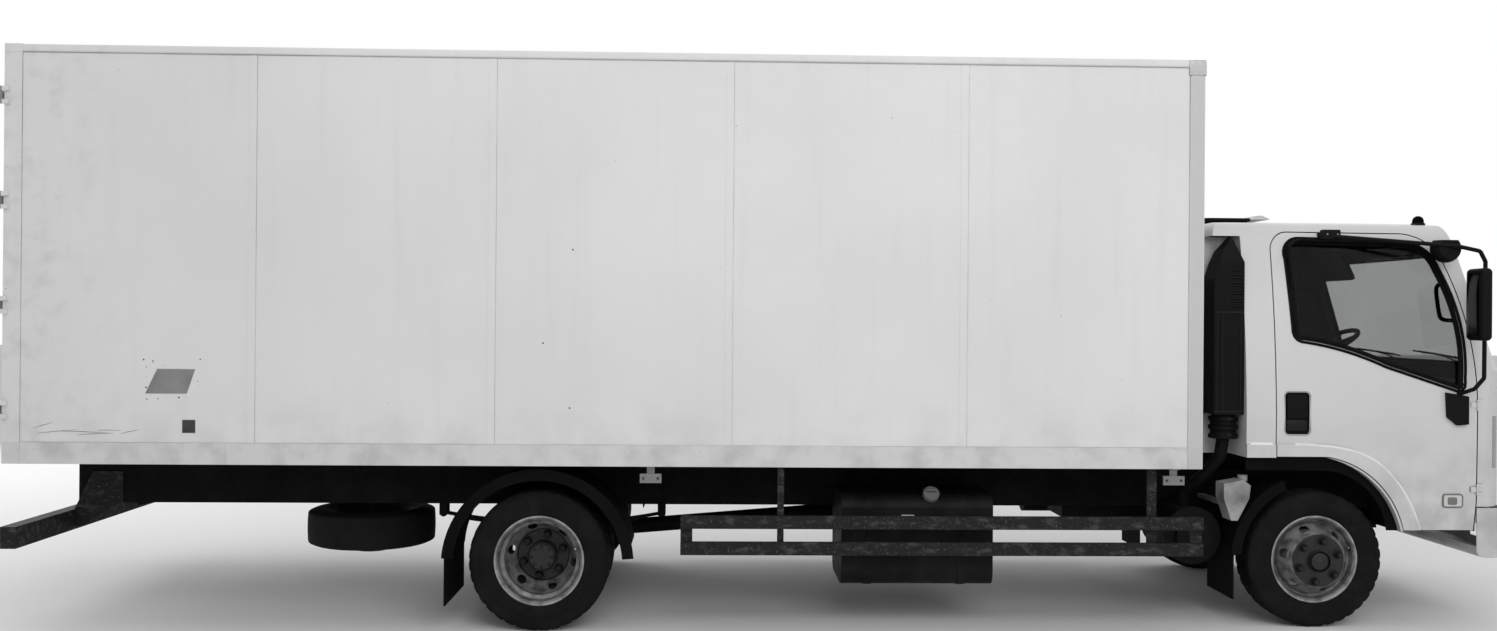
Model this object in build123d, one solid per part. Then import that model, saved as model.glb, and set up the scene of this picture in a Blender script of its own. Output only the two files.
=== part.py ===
from build123d import *
import math
import os

# A light cab-over box truck, empty and parked with its wheels straight.
# Millimetres. +X is forward, +Y is the truck's left, +Z is up, and the wheels stand on Z = 0.

# Whole truck
WHEELBASE = 4175
FRONT_OVERHANG = 1110        # front axle to the bumper's face
BOX_OVERHANG = 2725          # rear axle to the rear face of the box
REAR_GEAR = 30               # hinges behind the rear face of the box
X_FRONT = (FRONT_OVERHANG + WHEELBASE + BOX_OVERHANG + REAR_GEAR) / 2
XF = X_FRONT - FRONT_OVERHANG            # front axle
XR = XF - WHEELBASE                      # rear axle
GAP = 6                      # running gap round doors and lids
SKIN = 5                     # moulded plastic
FIT = 0.3                    # running clearance on pins and spindles

# Wheels
TYRE_R = 370
TYRE_W = 215
RIM_R = 236
RIM_W = 176
RIM_SHEET = 6
BEAD_R = 223
WELL_R = 196
DISC = 10
WHEEL_OFFSET = 127           # rim centre to the mounting face
STUD_COUNT = 6
STUD_PCD = 222
STUD_R = 9
RIGHT_TURN = 11              # how far the wheels of each side have rolled, as they stand
LEFT_TURN = -12
CAMBER = 0.5                 # degrees that the front wheels lean out at the top
HAND_HOLE = (52, 36)         # tangential and radial size of each of the six hand holes
HAND_HOLE_R = 168
AXLE_Z = TYRE_R
FRONT_TRACK = 1680
REAR_TRACK = 1650            # between the middles of the twin wheels
KINGPIN_Y = 715
STEER_RANGE = 36
STEER_ARM = 160
KINGPIN_R = 15
BALL_R = 10                  # ball pins of the tie rod
HUB_R = 58
SPINDLE_R = 26
DRUM_R = 160
DRUM_WALL = 10
REAR_HUB_R = 78
REAR_SPINDLE_R = 40

# Chassis
RAIL_TOP = 800
RAIL_H = 216
RAIL_FLANGE = 70
RAIL_SHEET = 6
FRAME_W = 850
RAIL_FRONT = 880             # rail ends, from the front axle
RAIL_Y = FRAME_W / 2 - RAIL_FLANGE / 2
RAIL_BOTTOM = RAIL_TOP - RAIL_H
SPRING_W = 64
PINION_X = 250               # drive flange, ahead of the rear axle
PINION_RISE = 12
GEARBOX_BACK = -1180         # from the front axle
GEARBOX_Z = 600
LEAF = 11

# Box
BOX_FRONT = -694             # front face of the box, from the front axle
BOX_L = WHEELBASE + BOX_OVERHANG + BOX_FRONT
BOX_W = 2300
BOX_TOP = 3028
BOX_BOTTOM = 879
BOX_WALL = 25
BOX_ROOF = 30
SKIRT_H = 111
TOP_RAIL_H = 44
POST_W = 85                  # front corner posts and rear portal posts
PORTAL_DEPTH = 90
SILL_H = 110
HEADER_H = 100
PROUD = 3                    # rails and posts stand proud of the panels
PANEL_COUNT = 5
PANEL_EDGE = 38              # of the end panels, hidden by the posts
PANEL_PITCH = (BOX_L - 2 * PANEL_EDGE) / PANEL_COUNT
SEAM_W = 40
FLOOR_TOP = BOX_BOTTOM + SKIRT_H
DOOR_SHEET = 30
HINGE_OUT = 20               # rear door hinge line, outboard of and behind the box
HINGE_R = 9
BX0 = XR - BOX_OVERHANG      # rear face of the box
BX1 = BX0 + BOX_L            # front face of the box
BY = BOX_W / 2

# Cab, with X from the front axle
CAB_W = 2000
CAB_FLOOR_W = 1980
CAB_ROOF_W = 1790
CAB_TOP = 2237
CAB_BACK = -555
CAB_COLUMN = -405            # rear edge of the full-width column behind the door
CAB_BELT = 1150
CAB_SKIRT = 534              # lower edge of doors and steps
CAB_NOSE = 1075
SCREEN_Z = 1400              # foot of the windscreen
SCREEN_TOP = 2050
SCREEN_RAKE = 20             # degrees that the windscreen and its pillars lean back
CAB_WALL = 50
CAB_FLOOR = 990
FOOT_FLOOR = 925
COVER_TOP = 1150             # engine cover between the seats
COVER_Y = 370
SEAT_Z = 1310
FLOOR_SHEET = 40
GLASS = 5
GLASS_INSET = 9
TILT_X = 985                 # tilt pivot from the front axle
TILT_Z = 835
TILT_PIN_R = 14
CAB_TILT = 45
DOOR_X = 857                 # front shut line of the door
DOOR_REAR = -247
DOOR_TOP = CAB_TOP - 87
ARCH_TOP = 927
NOSE_BOTTOM = 667
LINER_Y = 973                # outer face of the dark band round the arch
PANEL = 20                   # front panel with the grille
LAMP_DEPTH = 42
FLARE_OUT = 8                # lip over the wheel arch, proud of the widest point
DOOR_HANDLE = (-129, 1165, 134, 226)     # middle, width and height of the handle's recess
HINGE_AT = (851, 1003)       # cab door hinge line: X from the front axle, and Y
DOOR_HINGE_Z = (760, 1215)
DOOR_HINGE_R = 3


def block(x0, x1, y0, y1, z0, z1):
    """A box between two corners, given in any order."""
    size = (abs(x1 - x0), abs(y1 - y0), abs(z1 - z0))
    return Pos((x0 + x1) / 2, (y0 + y1) / 2, (z0 + z1) / 2) * Box(*size)


def rod(start, end, radius):
    """A round bar between two points."""
    start = Vector(*start)
    end = Vector(*end)
    plane = Plane(origin=(start + end) / 2, z_dir=end - start)
    return plane * Cylinder(radius, (end - start).length)


def tube(points, radius, bend):
    """A round bar along straight runs with bent corners."""
    path = FilletPolyline(*points, radius=bend)
    return sweep(Plane(path @ 0, z_dir=path % 0) * Circle(radius), path=path)


def fuse(solids):
    """One solid from pieces that are welded together."""
    body = solids[0]
    for other in solids[1:]:
        body = body + other
    return body


def polygon(points):
    return make_face(Polyline(*points, close=True))


def side_prism(face, y0, y1):
    """Extrude a face drawn in X and Z between two values of Y, given in any order."""
    return Pos(0, max(y0, y1), 0) * extrude(Plane.XZ * face, amount=abs(y1 - y0))


def front_prism(face, x0, x1):
    """Extrude a face drawn in Y and Z from x0 to x1."""
    return Pos(x0, 0, 0) * extrude(Plane.YZ * face, amount=x1 - x0)


def spun(points):
    """Turn an outline of (radius, y) pairs about the Y axis."""
    return revolve(polygon(points), Axis.Y)


def both_sides(solid):
    """A solid and its mirror image across the middle of the truck."""
    return [solid, mirror(solid, Plane.XZ)]


def ring(solid, count, first=0):
    """Copies of a solid turned about the Y axis."""
    return [Rot(0, first + 360 * i / count, 0) * solid for i in range(count)]


# Wheels. Each is drawn about its rim's middle with +Y outboard.

def rim_barrel():
    """Drop-centre rim: flanges, bead seats and well."""
    half = RIM_W / 2
    outside = [(RIM_R, half), (RIM_R, half - 6), (BEAD_R, half - 12), (BEAD_R - 8, half - 40),
               (WELL_R, half - 52)]
    inside = [(RIM_R - 8, half), (BEAD_R - 7, half - 10), (BEAD_R - 15, half - 42),
              (WELL_R - RIM_SHEET, half - 54)]
    mirrored = [(r, -y) for r, y in reversed(outside)]
    back = [(r, -y) for r, y in inside]
    return spun(outside + mirrored + back + inside[::-1])


def wheel_disc(bore):
    """Dished disc from the well out to the flat mounting face, with hand holes."""
    face = WHEEL_OFFSET
    flat_r = STUD_PCD / 2 + 26
    well = WELL_R - RIM_SHEET / 2
    dish = spun([(well, 20), (well - 14, 52), (flat_r - 4, face - 8), (flat_r - 10, face), (bore, face),
                 (bore, face + DISC), (flat_r, face + DISC), (flat_r + 12, face - 4), (well - 4, 58),
                 (well, 44)])
    wide, tall = HAND_HOLE
    hole = extrude(Plane.XZ * Pos(0, HAND_HOLE_R) * Ellipse(wide / 2, tall / 2), amount=-face - DISC)
    return dish - ring(hole, STUD_COUNT, 180 / STUD_COUNT)


def studs(y0, y1):
    stud = rod((0, y0, STUD_PCD / 2), (0, y1, STUD_PCD / 2), STUD_R)
    return ring(stud, STUD_COUNT)


def front_wheel_metal():
    """Front rim with its disc, hub, brake drum and studs, in one turning piece."""
    face = WHEEL_OFFSET
    mouth = -40
    drum = spun([(DRUM_R, mouth), (DRUM_R, face - 24), (STUD_PCD / 2 + 24, face), (SPINDLE_R + FIT, face),
                 (SPINDLE_R + FIT, mouth + 30), (HUB_R, mouth + 30), (HUB_R, face - 30),
                 (DRUM_R - DRUM_WALL, face - 34), (DRUM_R - DRUM_WALL, mouth)])
    cap_r = HUB_R - 4
    cap = spun([(0, face + DISC), (cap_r, face + DISC), (cap_r, face + 22), (cap_r - 8, face + 30),
                (0, face + 33)])
    plate = spun([(0, face), (HUB_R + 4, face), (HUB_R + 4, face + DISC), (0, face + DISC)])
    return fuse([rim_barrel(), wheel_disc(HUB_R), drum, plate, cap] + studs(face, face + DISC + 34))


def rear_wheel_metal():
    """Twin rims bolted back to back on one hub with its drum, about the middle of the pair."""
    inner = Pos(0, -WHEEL_OFFSET, 0) * (rim_barrel() + wheel_disc(REAR_HUB_R - 2))
    outer = mirror(inner, Plane.XZ)
    mouth = -150
    hub = spun([(DRUM_R, mouth), (DRUM_R, -34), (STUD_PCD / 2 + 24, -DISC), (STUD_PCD / 2 + 24, DISC / 2),
                (REAR_HUB_R, DISC / 2), (REAR_HUB_R, 92), (REAR_HUB_R - 12, 104), (0, 104), (0, 92),
                (REAR_SPINDLE_R + FIT, 92), (REAR_SPINDLE_R + FIT, mouth + 20), (REAR_HUB_R, mouth + 20),
                (REAR_HUB_R, -44), (DRUM_R - DRUM_WALL, -44), (DRUM_R - DRUM_WALL, mouth)])
    return fuse([inner, outer, hub] + studs(0, DISC + 34))


def tyre():
    """Tyre on its bead seats, with bulged sidewalls and a nearly flat tread."""
    half = TYRE_W / 2
    bead = RIM_W / 2 - 12.5
    lip = RIM_W / 2 + 0.6
    shoulder = half - 14
    seat = Line((BEAD_R + 0.5, -bead), (BEAD_R + 0.5, bead))
    heel = Polyline((BEAD_R + 0.5, bead), (RIM_R + 0.8, lip - 7), (RIM_R + 0.8, lip))
    side = ThreePointArc((RIM_R + 0.8, lip), (RIM_R + 56, half), (TYRE_R - 16, shoulder))
    corner = ThreePointArc((TYRE_R - 16, shoulder), (TYRE_R - 7, shoulder - 5), (TYRE_R - 3, shoulder - 16))
    tread = ThreePointArc((TYRE_R - 3, shoulder - 16), (TYRE_R, 0), (TYRE_R - 3, 16 - shoulder))
    edges = [*heel.edges(), side, corner]
    mirrored = [mirror(edge, Plane.XZ) for edge in edges]
    return revolve(make_face([seat, tread, *edges, *mirrored]), Axis.Y)


def outboard(solid, side):
    """Turn a wheel drawn with +Y outboard to the left (1) or right (-1) side."""
    return solid if side > 0 else Rot(0, 0, 180) * solid


# Axles and steering

def front_axle():
    """Dropped I-beam with spring pads and a boss for each kingpin."""
    half = KINGPIN_Y
    drop = 60
    top = AXLE_Z - 20
    outline = polygon([(-half, AXLE_Z + 38), (-half + 70, AXLE_Z + 38), (-half + 190, top), (half - 190, top),
                       (half - 70, AXLE_Z + 38), (half, AXLE_Z + 38), (half, AXLE_Z - 32),
                       (half - 90, AXLE_Z - 38), (half - 210, top - drop - 20), (210 - half, top - drop - 20),
                       (90 - half, AXLE_Z - 38), (-half, AXLE_Z - 32)])
    beam = front_prism(outline, XF - 36, XF + 36)
    pockets = [block(XF + s * 12, XF + s * 40, -half + 230, half - 230, top - drop - 6, top - 14)
               for s in (-1, 1)]
    pads = [block(XF - 60, XF + 60, s * RAIL_Y - 40, s * RAIL_Y + 40, top - 22, top + 14) for s in (-1, 1)]
    bosses = [rod((XF, s * half, AXLE_Z - 36), (XF, s * half, AXLE_Z + 42), 36) for s in (-1, 1)]
    return fuse([beam] + pads + bosses) - pockets


def knuckle(side):
    """Yoke round the beam's end, kingpin, spindle, brake plate and steering arm."""
    y = KINGPIN_Y
    low = AXLE_Z - 38
    high = AXLE_Z + 44
    arm_z0 = low - 30
    arm_z1 = low - 8
    lugs = [block(-34, 34, y - 34, y + 62, arm_z0, low), block(-34, 34, y - 34, y + 62, high, high + 22)]
    web = block(-34, 34, y + 40, y + 62, arm_z0, high + 22)
    pin = rod((0, y, arm_z0), (0, y, high + 26), KINGPIN_R)
    half = FRONT_TRACK / 2
    wheel = Pos(0, half, AXLE_Z) * Rot(-CAMBER, 0, 0)
    spindle = wheel * rod((0, y + 50 - half, 0), (0, WHEEL_OFFSET - 12, 0), SPINDLE_R)
    plate = wheel * rod((0, y + 56 - half, 0), (0, -34, 0), DRUM_R - DRUM_WALL - 6)
    arm = block(-STEER_ARM, 0, y - 16, y + 16, arm_z0, arm_z1)
    eye = rod((-STEER_ARM, y, arm_z0), (-STEER_ARM, y, arm_z1), 22)
    bore = rod((-STEER_ARM, y, arm_z0 - 1), (-STEER_ARM, y, arm_z1 + 1), BALL_R + FIT)
    solid = Pos(XF, 0, 0) * (fuse([lugs[0], lugs[1], web, pin, plate, spindle, arm, eye]) - bore)
    return solid if side > 0 else mirror(solid, Plane.XZ)


def kingpin_bores():
    return [rod((XF, s * KINGPIN_Y, AXLE_Z - 60), (XF, s * KINGPIN_Y, AXLE_Z + 60), KINGPIN_R + FIT) for s in (-1, 1)]


def tie_rod():
    """Straight rod between the two steering arms, under them."""
    x = XF - STEER_ARM
    top = AXLE_Z - 68 - FIT
    z = top - 18
    pieces = [rod((x, -KINGPIN_Y, z), (x, KINGPIN_Y, z), 14)]
    for s in (-1, 1):
        pieces.append(rod((x, s * KINGPIN_Y, z - 16), (x, s * KINGPIN_Y, top), BALL_R + 5))
        pieces.append(rod((x, s * KINGPIN_Y, z), (x, s * KINGPIN_Y, top + 24), BALL_R))
    return fuse(pieces)


def rear_axle():
    """Banjo housing with its differential, spring pads and hollow spindles."""
    end = REAR_TRACK / 2
    tube = rod((0, -end + 200, 0), (0, end - 200, 0), 52)
    spindle = rod((0, -end - 88, 0), (0, end + 88, 0), REAR_SPINDLE_R)
    ball = Sphere(165)
    ball = ball & block(-170, 170, -140, 140, -170, 170)
    nose = rod((100, 0, PINION_RISE), (PINION_X, 0, PINION_RISE), 58)
    pads = [block(-55, 55, s * RAIL_Y - 38, s * RAIL_Y + 38, 30, 62) for s in (-1, 1)]
    plates = [rod((0, s * (end - 162), 0), (0, s * (end - 150), 0), DRUM_R - DRUM_WALL - 6) for s in (-1, 1)]
    hubs = [rod((0, s * (end - 205), 0), (0, s * (end - 150), 0), 64) for s in (-1, 1)]
    return Pos(XR, 0, AXLE_Z) * fuse([tube, spindle, ball, nose] + pads + plates + hubs)


def leaf_pack(x, z_seat, half, rise, leaves):
    """A pack of curved leaves on an axle seat, its eyes in hangers that reach up to the rail."""
    pieces = []
    for i in range(leaves):
        reach = half * (1 - 0.22 * i)
        lift = rise * (reach / half) ** 2
        base = z_seat + (leaves - 1 - i) * LEAF
        top = ThreePointArc((-reach, base + lift + LEAF), (0, base + LEAF), (reach, base + lift + LEAF))
        low = ThreePointArc((-reach, base + lift), (0, base), (reach, base + lift))
        ends = [Line((s * reach, base + lift), (s * reach, base + lift + LEAF)) for s in (-1, 1)]
        pieces.append(side_prism(make_face([top, low, *ends]), -SPRING_W / 2, SPRING_W / 2))
    eye_z = z_seat + (leaves - 1) * LEAF + rise + LEAF / 2
    for s in (-1, 1):
        pieces.append(rod((s * half, -SPRING_W / 2, eye_z), (s * half, SPRING_W / 2, eye_z), 22))
    clamp = block(-50, 50, -SPRING_W / 2 - 8, SPRING_W / 2 + 8, z_seat, z_seat + leaves * LEAF + 16)
    pieces.append(clamp)
    for s in (-1, 1):
        for side in (-1, 1):
            y = side * (SPRING_W / 2 + 4)
            pieces.append(block(s * half - 22, s * half + 22, y - 4, y + 4, eye_z - 10, RAIL_BOTTOM))
    return Pos(x, 0, 0) * fuse(pieces)


def leaf_springs():
    rows = (
        # axle, seat height, half span, rise at the eyes, leaves
        (XF, AXLE_Z - 6, 600, 130, 3),
        (XR, AXLE_Z + 62, 620, 60, 4),
    )
    springs = []
    for x, seat, half, rise, leaves in rows:
        pack = leaf_pack(x, seat, half, rise, leaves)
        springs += [Pos(0, s * RAIL_Y, 0) * pack for s in (-1, 1)]
    return springs


# Chassis

CROSSMEMBERS = (XF + 820, XF - 1290, XF - 2450, XR + 755, XR - 645, XR - 1525, BX0 + 260)


def frame_rail():
    """C-section rail on the left, open towards the middle."""
    outer = FRAME_W / 2
    web = block(BX0 + 60, XF + RAIL_FRONT, outer - RAIL_SHEET, outer, RAIL_BOTTOM, RAIL_TOP)
    flanges = [block(BX0 + 60, XF + RAIL_FRONT, outer - RAIL_FLANGE, outer, z, z + RAIL_SHEET)
               for z in (RAIL_BOTTOM, RAIL_TOP - RAIL_SHEET)]
    return fuse([web] + flanges)


def tilt_bracket(y):
    """Plate from the rail's end up to the cab's pivot."""
    plate = polygon([(RAIL_FRONT - 90, RAIL_TOP), (RAIL_FRONT, RAIL_BOTTOM + 126), (TILT_X + 12, TILT_Z - 24),
                     (TILT_X + 26, TILT_Z), (TILT_X, TILT_Z + 26), (RAIL_FRONT, RAIL_TOP)])
    return Pos(XF, 0, 0) * side_prism(plate, y - 6, y + 6)


def chassis_rail():
    """Left rail of the ladder frame, with the cab's pivot in front and a rest for the cab's back."""
    outer = FRAME_W / 2
    brackets = [tilt_bracket(outer - 6), tilt_bracket(outer - 46)]
    pin = rod((XF + TILT_X, outer - 52, TILT_Z), (XF + TILT_X, outer, TILT_Z), TILT_PIN_R)
    rest = block(XF - 520, XF - 440, outer - 95, outer, RAIL_TOP, ARCH_TOP - GAP)
    nose = block(XF + RAIL_FRONT - 60, XF + BUMPER_CARRIER, outer - 45, outer - 33, RAIL_BOTTOM, RAIL_BOTTOM + 50)
    return fuse([frame_rail(), *brackets, pin, rest, nose])


def crossmembers(rails):
    """Pressed members between the rails, each with its upper flange under theirs."""
    inner = FRAME_W / 2 - RAIL_SHEET
    top = RAIL_TOP - RAIL_SHEET
    members = []
    for x in CROSSMEMBERS:
        web = block(x - 3, x + 3, -inner, inner, RAIL_BOTTOM + 56, top)
        cap = block(x - 40, x + 3, -inner, inner, top - 6, top)
        members.append(web + cap - rails)
    return members


def engine_block():
    """Engine and gearbox as one plain block, with the radiator and its shroud ahead of them."""
    engine = block(XF - 480, XF + 400, -270, 270, 500, 1060)
    gearbox = block(XF + GEARBOX_BACK, XF - 480, -170, 170, 480, 760)
    inner = FRAME_W / 2 - RAIL_SHEET
    feet = [block(XF - 60, XF + 20, -inner, inner, 640, 690), block(XF - 1060, XF - 1000, -inner, inner, 640, 680)]
    shroud = block(XF + 400, XF + 560, -320, 320, 480, 850)
    radiator = block(XF + 560, XF + 640, -335, 335, 450, 862)
    return fuse([engine, gearbox, shroud, radiator] + feet) - block(XF + 60, XF + 420, -300, 300, 400, 560)


def propeller_shaft():
    flange = 30
    x0 = XF + GEARBOX_BACK
    x1 = XR + PINION_X
    z0 = GEARBOX_Z
    z1 = AXLE_Z + PINION_RISE
    shaft = rod((x0 - flange, 0, z0), (x1 + flange, 0, z1), 45)
    return fuse([shaft, rod((x0, 0, z0), (x0 - flange - 6, 0, z0), 62), rod((x1 + flange + 6, 0, z1), (x1, 0, z1), 56)])


def exhaust():
    """Silencer on the left of the frame, with its down pipe and tail pipe."""
    y = FRAME_W / 2 + 135
    z = 520
    can = rod((XF - 1250, y, z), (XF - 650, y, z), 105)
    down = tube([(XF - 660, y, z), (XF - 560, y, z), (XF - 320, 330, z + 8), (XF - 320, 270, z + 8)], 32, 40)
    tail = tube([(XF - 1240, y, z), (XF - 1320, y, z), (XF - 1400, y + 190, z - 60)], 32, 60)
    hanger = block(XF - 1000, XF - 960, FRAME_W / 2, y, z, RAIL_TOP - 60)
    return fuse([can, down, tail, hanger])


TANK_X0 = -2580              # fuel tank, from the front axle
TANK_X1 = -1770
TANK_Z0 = 236
TANK_Z1 = 715
TANK_Y = 1000


def fuel_tank():
    """Rounded tank on the right with raised straps, a filler neck and its two carriers."""
    inner = FRAME_W / 2 + 60
    depth = TANK_Y - inner
    mid_y = -(TANK_Y + inner) / 2
    height = TANK_Z1 - TANK_Z0
    section = Pos(mid_y, (TANK_Z0 + TANK_Z1) / 2) * RectangleRounded(depth, height, 70)
    tank = front_prism(section, XF + TANK_X0, XF + TANK_X1)
    hoop = Pos(mid_y, (TANK_Z0 + TANK_Z1) / 2) * RectangleRounded(depth + 8, height + 8, 74)
    for x in (-2438, -1936):
        strap = front_prism(hoop, XF + x - 22, XF + x + 22)
        arm = block(XF + x - 30, XF + x + 30, -inner - 40, -FRAME_W / 2, RAIL_BOTTOM + 10, RAIL_BOTTOM + 110)
        tank = fuse([tank, strap, arm])
    neck = rod((XF - 2097, -TANK_Y + 110, TANK_Z1 - 5), (XF - 2097, -TANK_Y + 110, TANK_Z1 + 30), 44)
    return tank + neck


def battery_box():
    """Box for two batteries on the left, with a lid that overhangs it and its carrier."""
    x0 = XF - 2350
    x1 = XF - 1780
    inner = FRAME_W / 2
    tub = block(x0, x1, inner + 20, 930, 460, 690)
    lid = block(x0 - 10, x1 + 10, inner + 30, 940, 690, 730)
    arms = [block(x0 + d, x0 + d + 50, inner, inner + 40, 620, 700) for d in (60, 460)]
    return fuse([tub, lid] + arms)


def air_cleaner():
    """Drum on the right with its cover outboard, its pipe up to the bellows under the snorkel."""
    cx = XF - 628
    cz = 478
    y0 = -FRAME_W / 2
    y1 = y0 - 330
    drum = rod((cx, y0 - 40, cz), (cx, y1, cz), 150)
    cover = rod((cx, y1, cz), (cx, y1 - 60, cz), 158)
    dome = rod((cx, y1 - 60, cz), (cx, y1 - 90, cz), 95)
    mouth = (XF - 488, -880)
    foot = 1022
    pipe = tube([(cx, y1 + 120, cz + 100), (cx + 8, y1 + 100, 700), (XF - 545, -770, 810), (XF - 490, -850, 920),
                 (*mouth, foot)], 34, 60)
    folds = [rod((*mouth, foot + 24 * i), (*mouth, foot + 20 + 24 * i), 78 - 10 * (i % 2)) for i in range(5)]
    core = rod((*mouth, foot - 4), (*mouth, TOWER_Z0 - GAP), 60)
    arm = block(cx + 58, cx + 108, y0 - 60, y0, cz + 60, cz + 130)
    return fuse([drum, cover, dome, arm, pipe, core] + folds)


TOWER_Z0 = 1153              # lower end of the snorkel on the cab


def coolant_bottle():
    """Blow-moulded bottle behind the right front wheel, on a bracket from the rail."""
    x0 = XF - 508
    x1 = XF - 362
    body = polygon([(x0 + 40, 581), (x1 - 70, 581), (x1 - 8, 700), (x1, 770), (x1 - 40, 800), (x0, 780),
                    (x0, 700)])
    bottle = side_prism(body, -955, -835)
    cap = rod((XF - 385, -895, 790), (XF - 385, -895, 822), 26)
    bracket = block(x0 + 50, x0 + 90, -836, -FRAME_W / 2, 640, 660)
    return fuse([bottle, cap, bracket])


GUARD_X0 = 742 - WHEELBASE   # side guard, from the front axle
GUARD_X1 = -680
GUARD_Y = BY - 30


def side_guard():
    """Two rails with end posts and two hangers, under the left edge of the box."""
    y0 = GUARD_Y - 28
    rails = [block(XF + GUARD_X0, XF + GUARD_X1, y0, GUARD_Y, z, z + 68) for z in (416, 553)]
    posts = (
        # middle of the post from the front axle, width, foot, head
        (GUARD_X0 + 31, 62, 416, 621),
        (GUARD_X0 + 523, 34, 416, BOX_BOTTOM),
        (GUARD_X1 - 268, 50, 416, BOX_BOTTOM),
        (GUARD_X1 - 31, 62, 416, 621),
    )
    pieces = [block(XF + x - w / 2, XF + x + w / 2, y0 - 12, y0 + 2, z0, z1) for x, w, z0, z1 in posts]
    feet = [block(XF + x - w / 2, XF + x + w / 2, y0 - 12, BY - 10, z1 - 6, z1) for x, w, z0, z1 in posts[1:3]]
    return fuse(rails + pieces + feet)


def arc_band(cx, cz, radius, sheet, start, end):
    """A curved strip seen from the side, between two angles from forward, drawn in X and Z."""
    def arc(r):
        middle = (start + end) / 2
        at = [(cx + r * math.cos(math.radians(a)), cz + r * math.sin(math.radians(a)))
              for a in (start, middle, end)]
        return ThreePointArc(*at)
    outer = arc(radius)
    inner = arc(radius - sheet)
    return make_face([outer, inner, Line(outer @ 0, inner @ 0), Line(outer @ 1, inner @ 1)])


def rear_mudguard():
    """Half round guard over the left twin wheels, with a turned edge, a stay and its flap."""
    y0 = REAR_TRACK / 2 - 265
    y1 = REAR_TRACK / 2 + WHEEL_OFFSET + TYRE_W / 2 + 45
    radius = TYRE_R + 108
    crown = side_prism(arc_band(XR, AXLE_Z - 12, radius, SKIN, 8, 176), y0, y1)
    lip = side_prism(arc_band(XR, AXLE_Z - 12, radius + 22, 60, 4, 176), y1 - SKIN, y1)
    x = XR - radius
    flap = block(x - 6, x + 2, y0, y1, 145, AXLE_Z + 40)
    stays = [block(XR + d - 12, XR + d + 12, FRAME_W / 2, y1 - 20, 802, 815) for d in (-150, 150)]
    return fuse([crown, lip, flap] + stays)


def front_mudguard():
    """Rear half of the left front arch, fixed to the frame, with its flap."""
    y0 = 600
    y1 = LINER_Y - 8
    radius = TYRE_R + 88
    shell = side_prism(arc_band(XF, AXLE_Z, radius, SKIN, 112, 176), y0, y1)
    lip = side_prism(arc_band(XF, AXLE_Z, radius + 12, 55, 114, 176), y1 - SKIN, y1)
    flap = block(XF - radius - 6, XF - radius + 2, y0, y1, 160, AXLE_Z + 60)
    stay = block(XF - 400, XF - 370, FRAME_W / 2, y0 + 30, AXLE_Z + 232, AXLE_Z + 246)
    return fuse([shell, lip, flap, stay])


def mudguards():
    return both_sides(rear_mudguard()) + both_sides(front_mudguard())


def spare_wheel():
    """Spare lying flat under the rear overhang on a winch plate, with two cross straps above it."""
    x = XR - 1125
    z = 400
    wheel = fuse([tyre(), rim_barrel(), wheel_disc(HUB_R)])
    flat = Pos(x, 0, z) * Rot(-90, 0, 0) * wheel
    hook = rod((x, 0, z - 150), (x, 0, RAIL_BOTTOM + 60), 14)
    plate = Pos(x, 0, z - WHEEL_OFFSET - DISC - 6) * Cylinder(96, 12)
    inner = FRAME_W / 2 - RAIL_SHEET
    straps = [block(x + d - 30, x + d + 30, -inner, inner, RAIL_BOTTOM + RAIL_SHEET, RAIL_BOTTOM + 66)
              for d in (-60, 60)]
    cross = block(x - 90, x + 90, -30, 30, RAIL_BOTTOM + 10, RAIL_BOTTOM + 66)
    return fuse([flat, plate, hook, cross] + straps)


UNDERRUN_Z0 = 435
UNDERRUN_Z1 = 548
UNDERRUN_Y = BY - 50
LAMP_Y = (BY - 450, BY - 110)


def lamp_pocket(grow):
    y0, y1 = LAMP_Y
    x = BX0 - REAR_GEAR
    return block(x - 1, x + 30 + grow, y0 - grow, y1 + grow, UNDERRUN_Z0 + 16 - grow, UNDERRUN_Z1 - 16 + grow)


def underrun_bar():
    """Rear beam with a pocket for each lamp, hung from the frame on two arms."""
    x0 = BX0 - REAR_GEAR
    x1 = x0 + 80
    beam = block(x0, x1, -UNDERRUN_Y, UNDERRUN_Y, UNDERRUN_Z0, UNDERRUN_Z1)
    beam = beam - both_sides(lamp_pocket(0))
    arm = polygon([(x1 - 10, UNDERRUN_Z0 + 10), (x1 + 60, UNDERRUN_Z0 + 30), (x1 + 260, RAIL_BOTTOM + 10),
                   (x1 + 260, RAIL_TOP - 40), (x1 + 90, RAIL_TOP - 40), (x1 - 10, UNDERRUN_Z1)])
    outer = FRAME_W / 2
    arms = [side_prism(arm, outer, outer + 10), side_prism(arm, -outer - 10, -outer)]
    return fuse([beam] + arms)


def lamps():
    """Tail lamps in the rear beam and side markers on the skirts."""
    y0, y1 = LAMP_Y
    x = BX0 - REAR_GEAR
    tail = block(x + 2, x + 30, y0, y1, UNDERRUN_Z0 + 16, UNDERRUN_Z1 - 16)
    solids = both_sides(tail)
    for x in (XR + 585, XF - 837):
        marker = block(x - 56, x + 56, GUARD_Y - 24, GUARD_Y - 6, 790, 838)
        tab = block(x - 20, x + 20, GUARD_Y - 24, GUARD_Y - 18, 830, BOX_BOTTOM)
        foot = block(x - 20, x + 20, GUARD_Y - 24, BY - 10, BOX_BOTTOM - 6, BOX_BOTTOM)
        solids += both_sides(fuse([marker, tab, foot]))
    return solids


BUMPER_TOP = 658
BUMPER_LOW = 389
BUMPER_SHEET = 4
BUMPER_CARRIER = 1030        # beam behind the bumper, from the front axle
BUMPER_BACK = 862            # rear end of the turned corners, from the front axle


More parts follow.
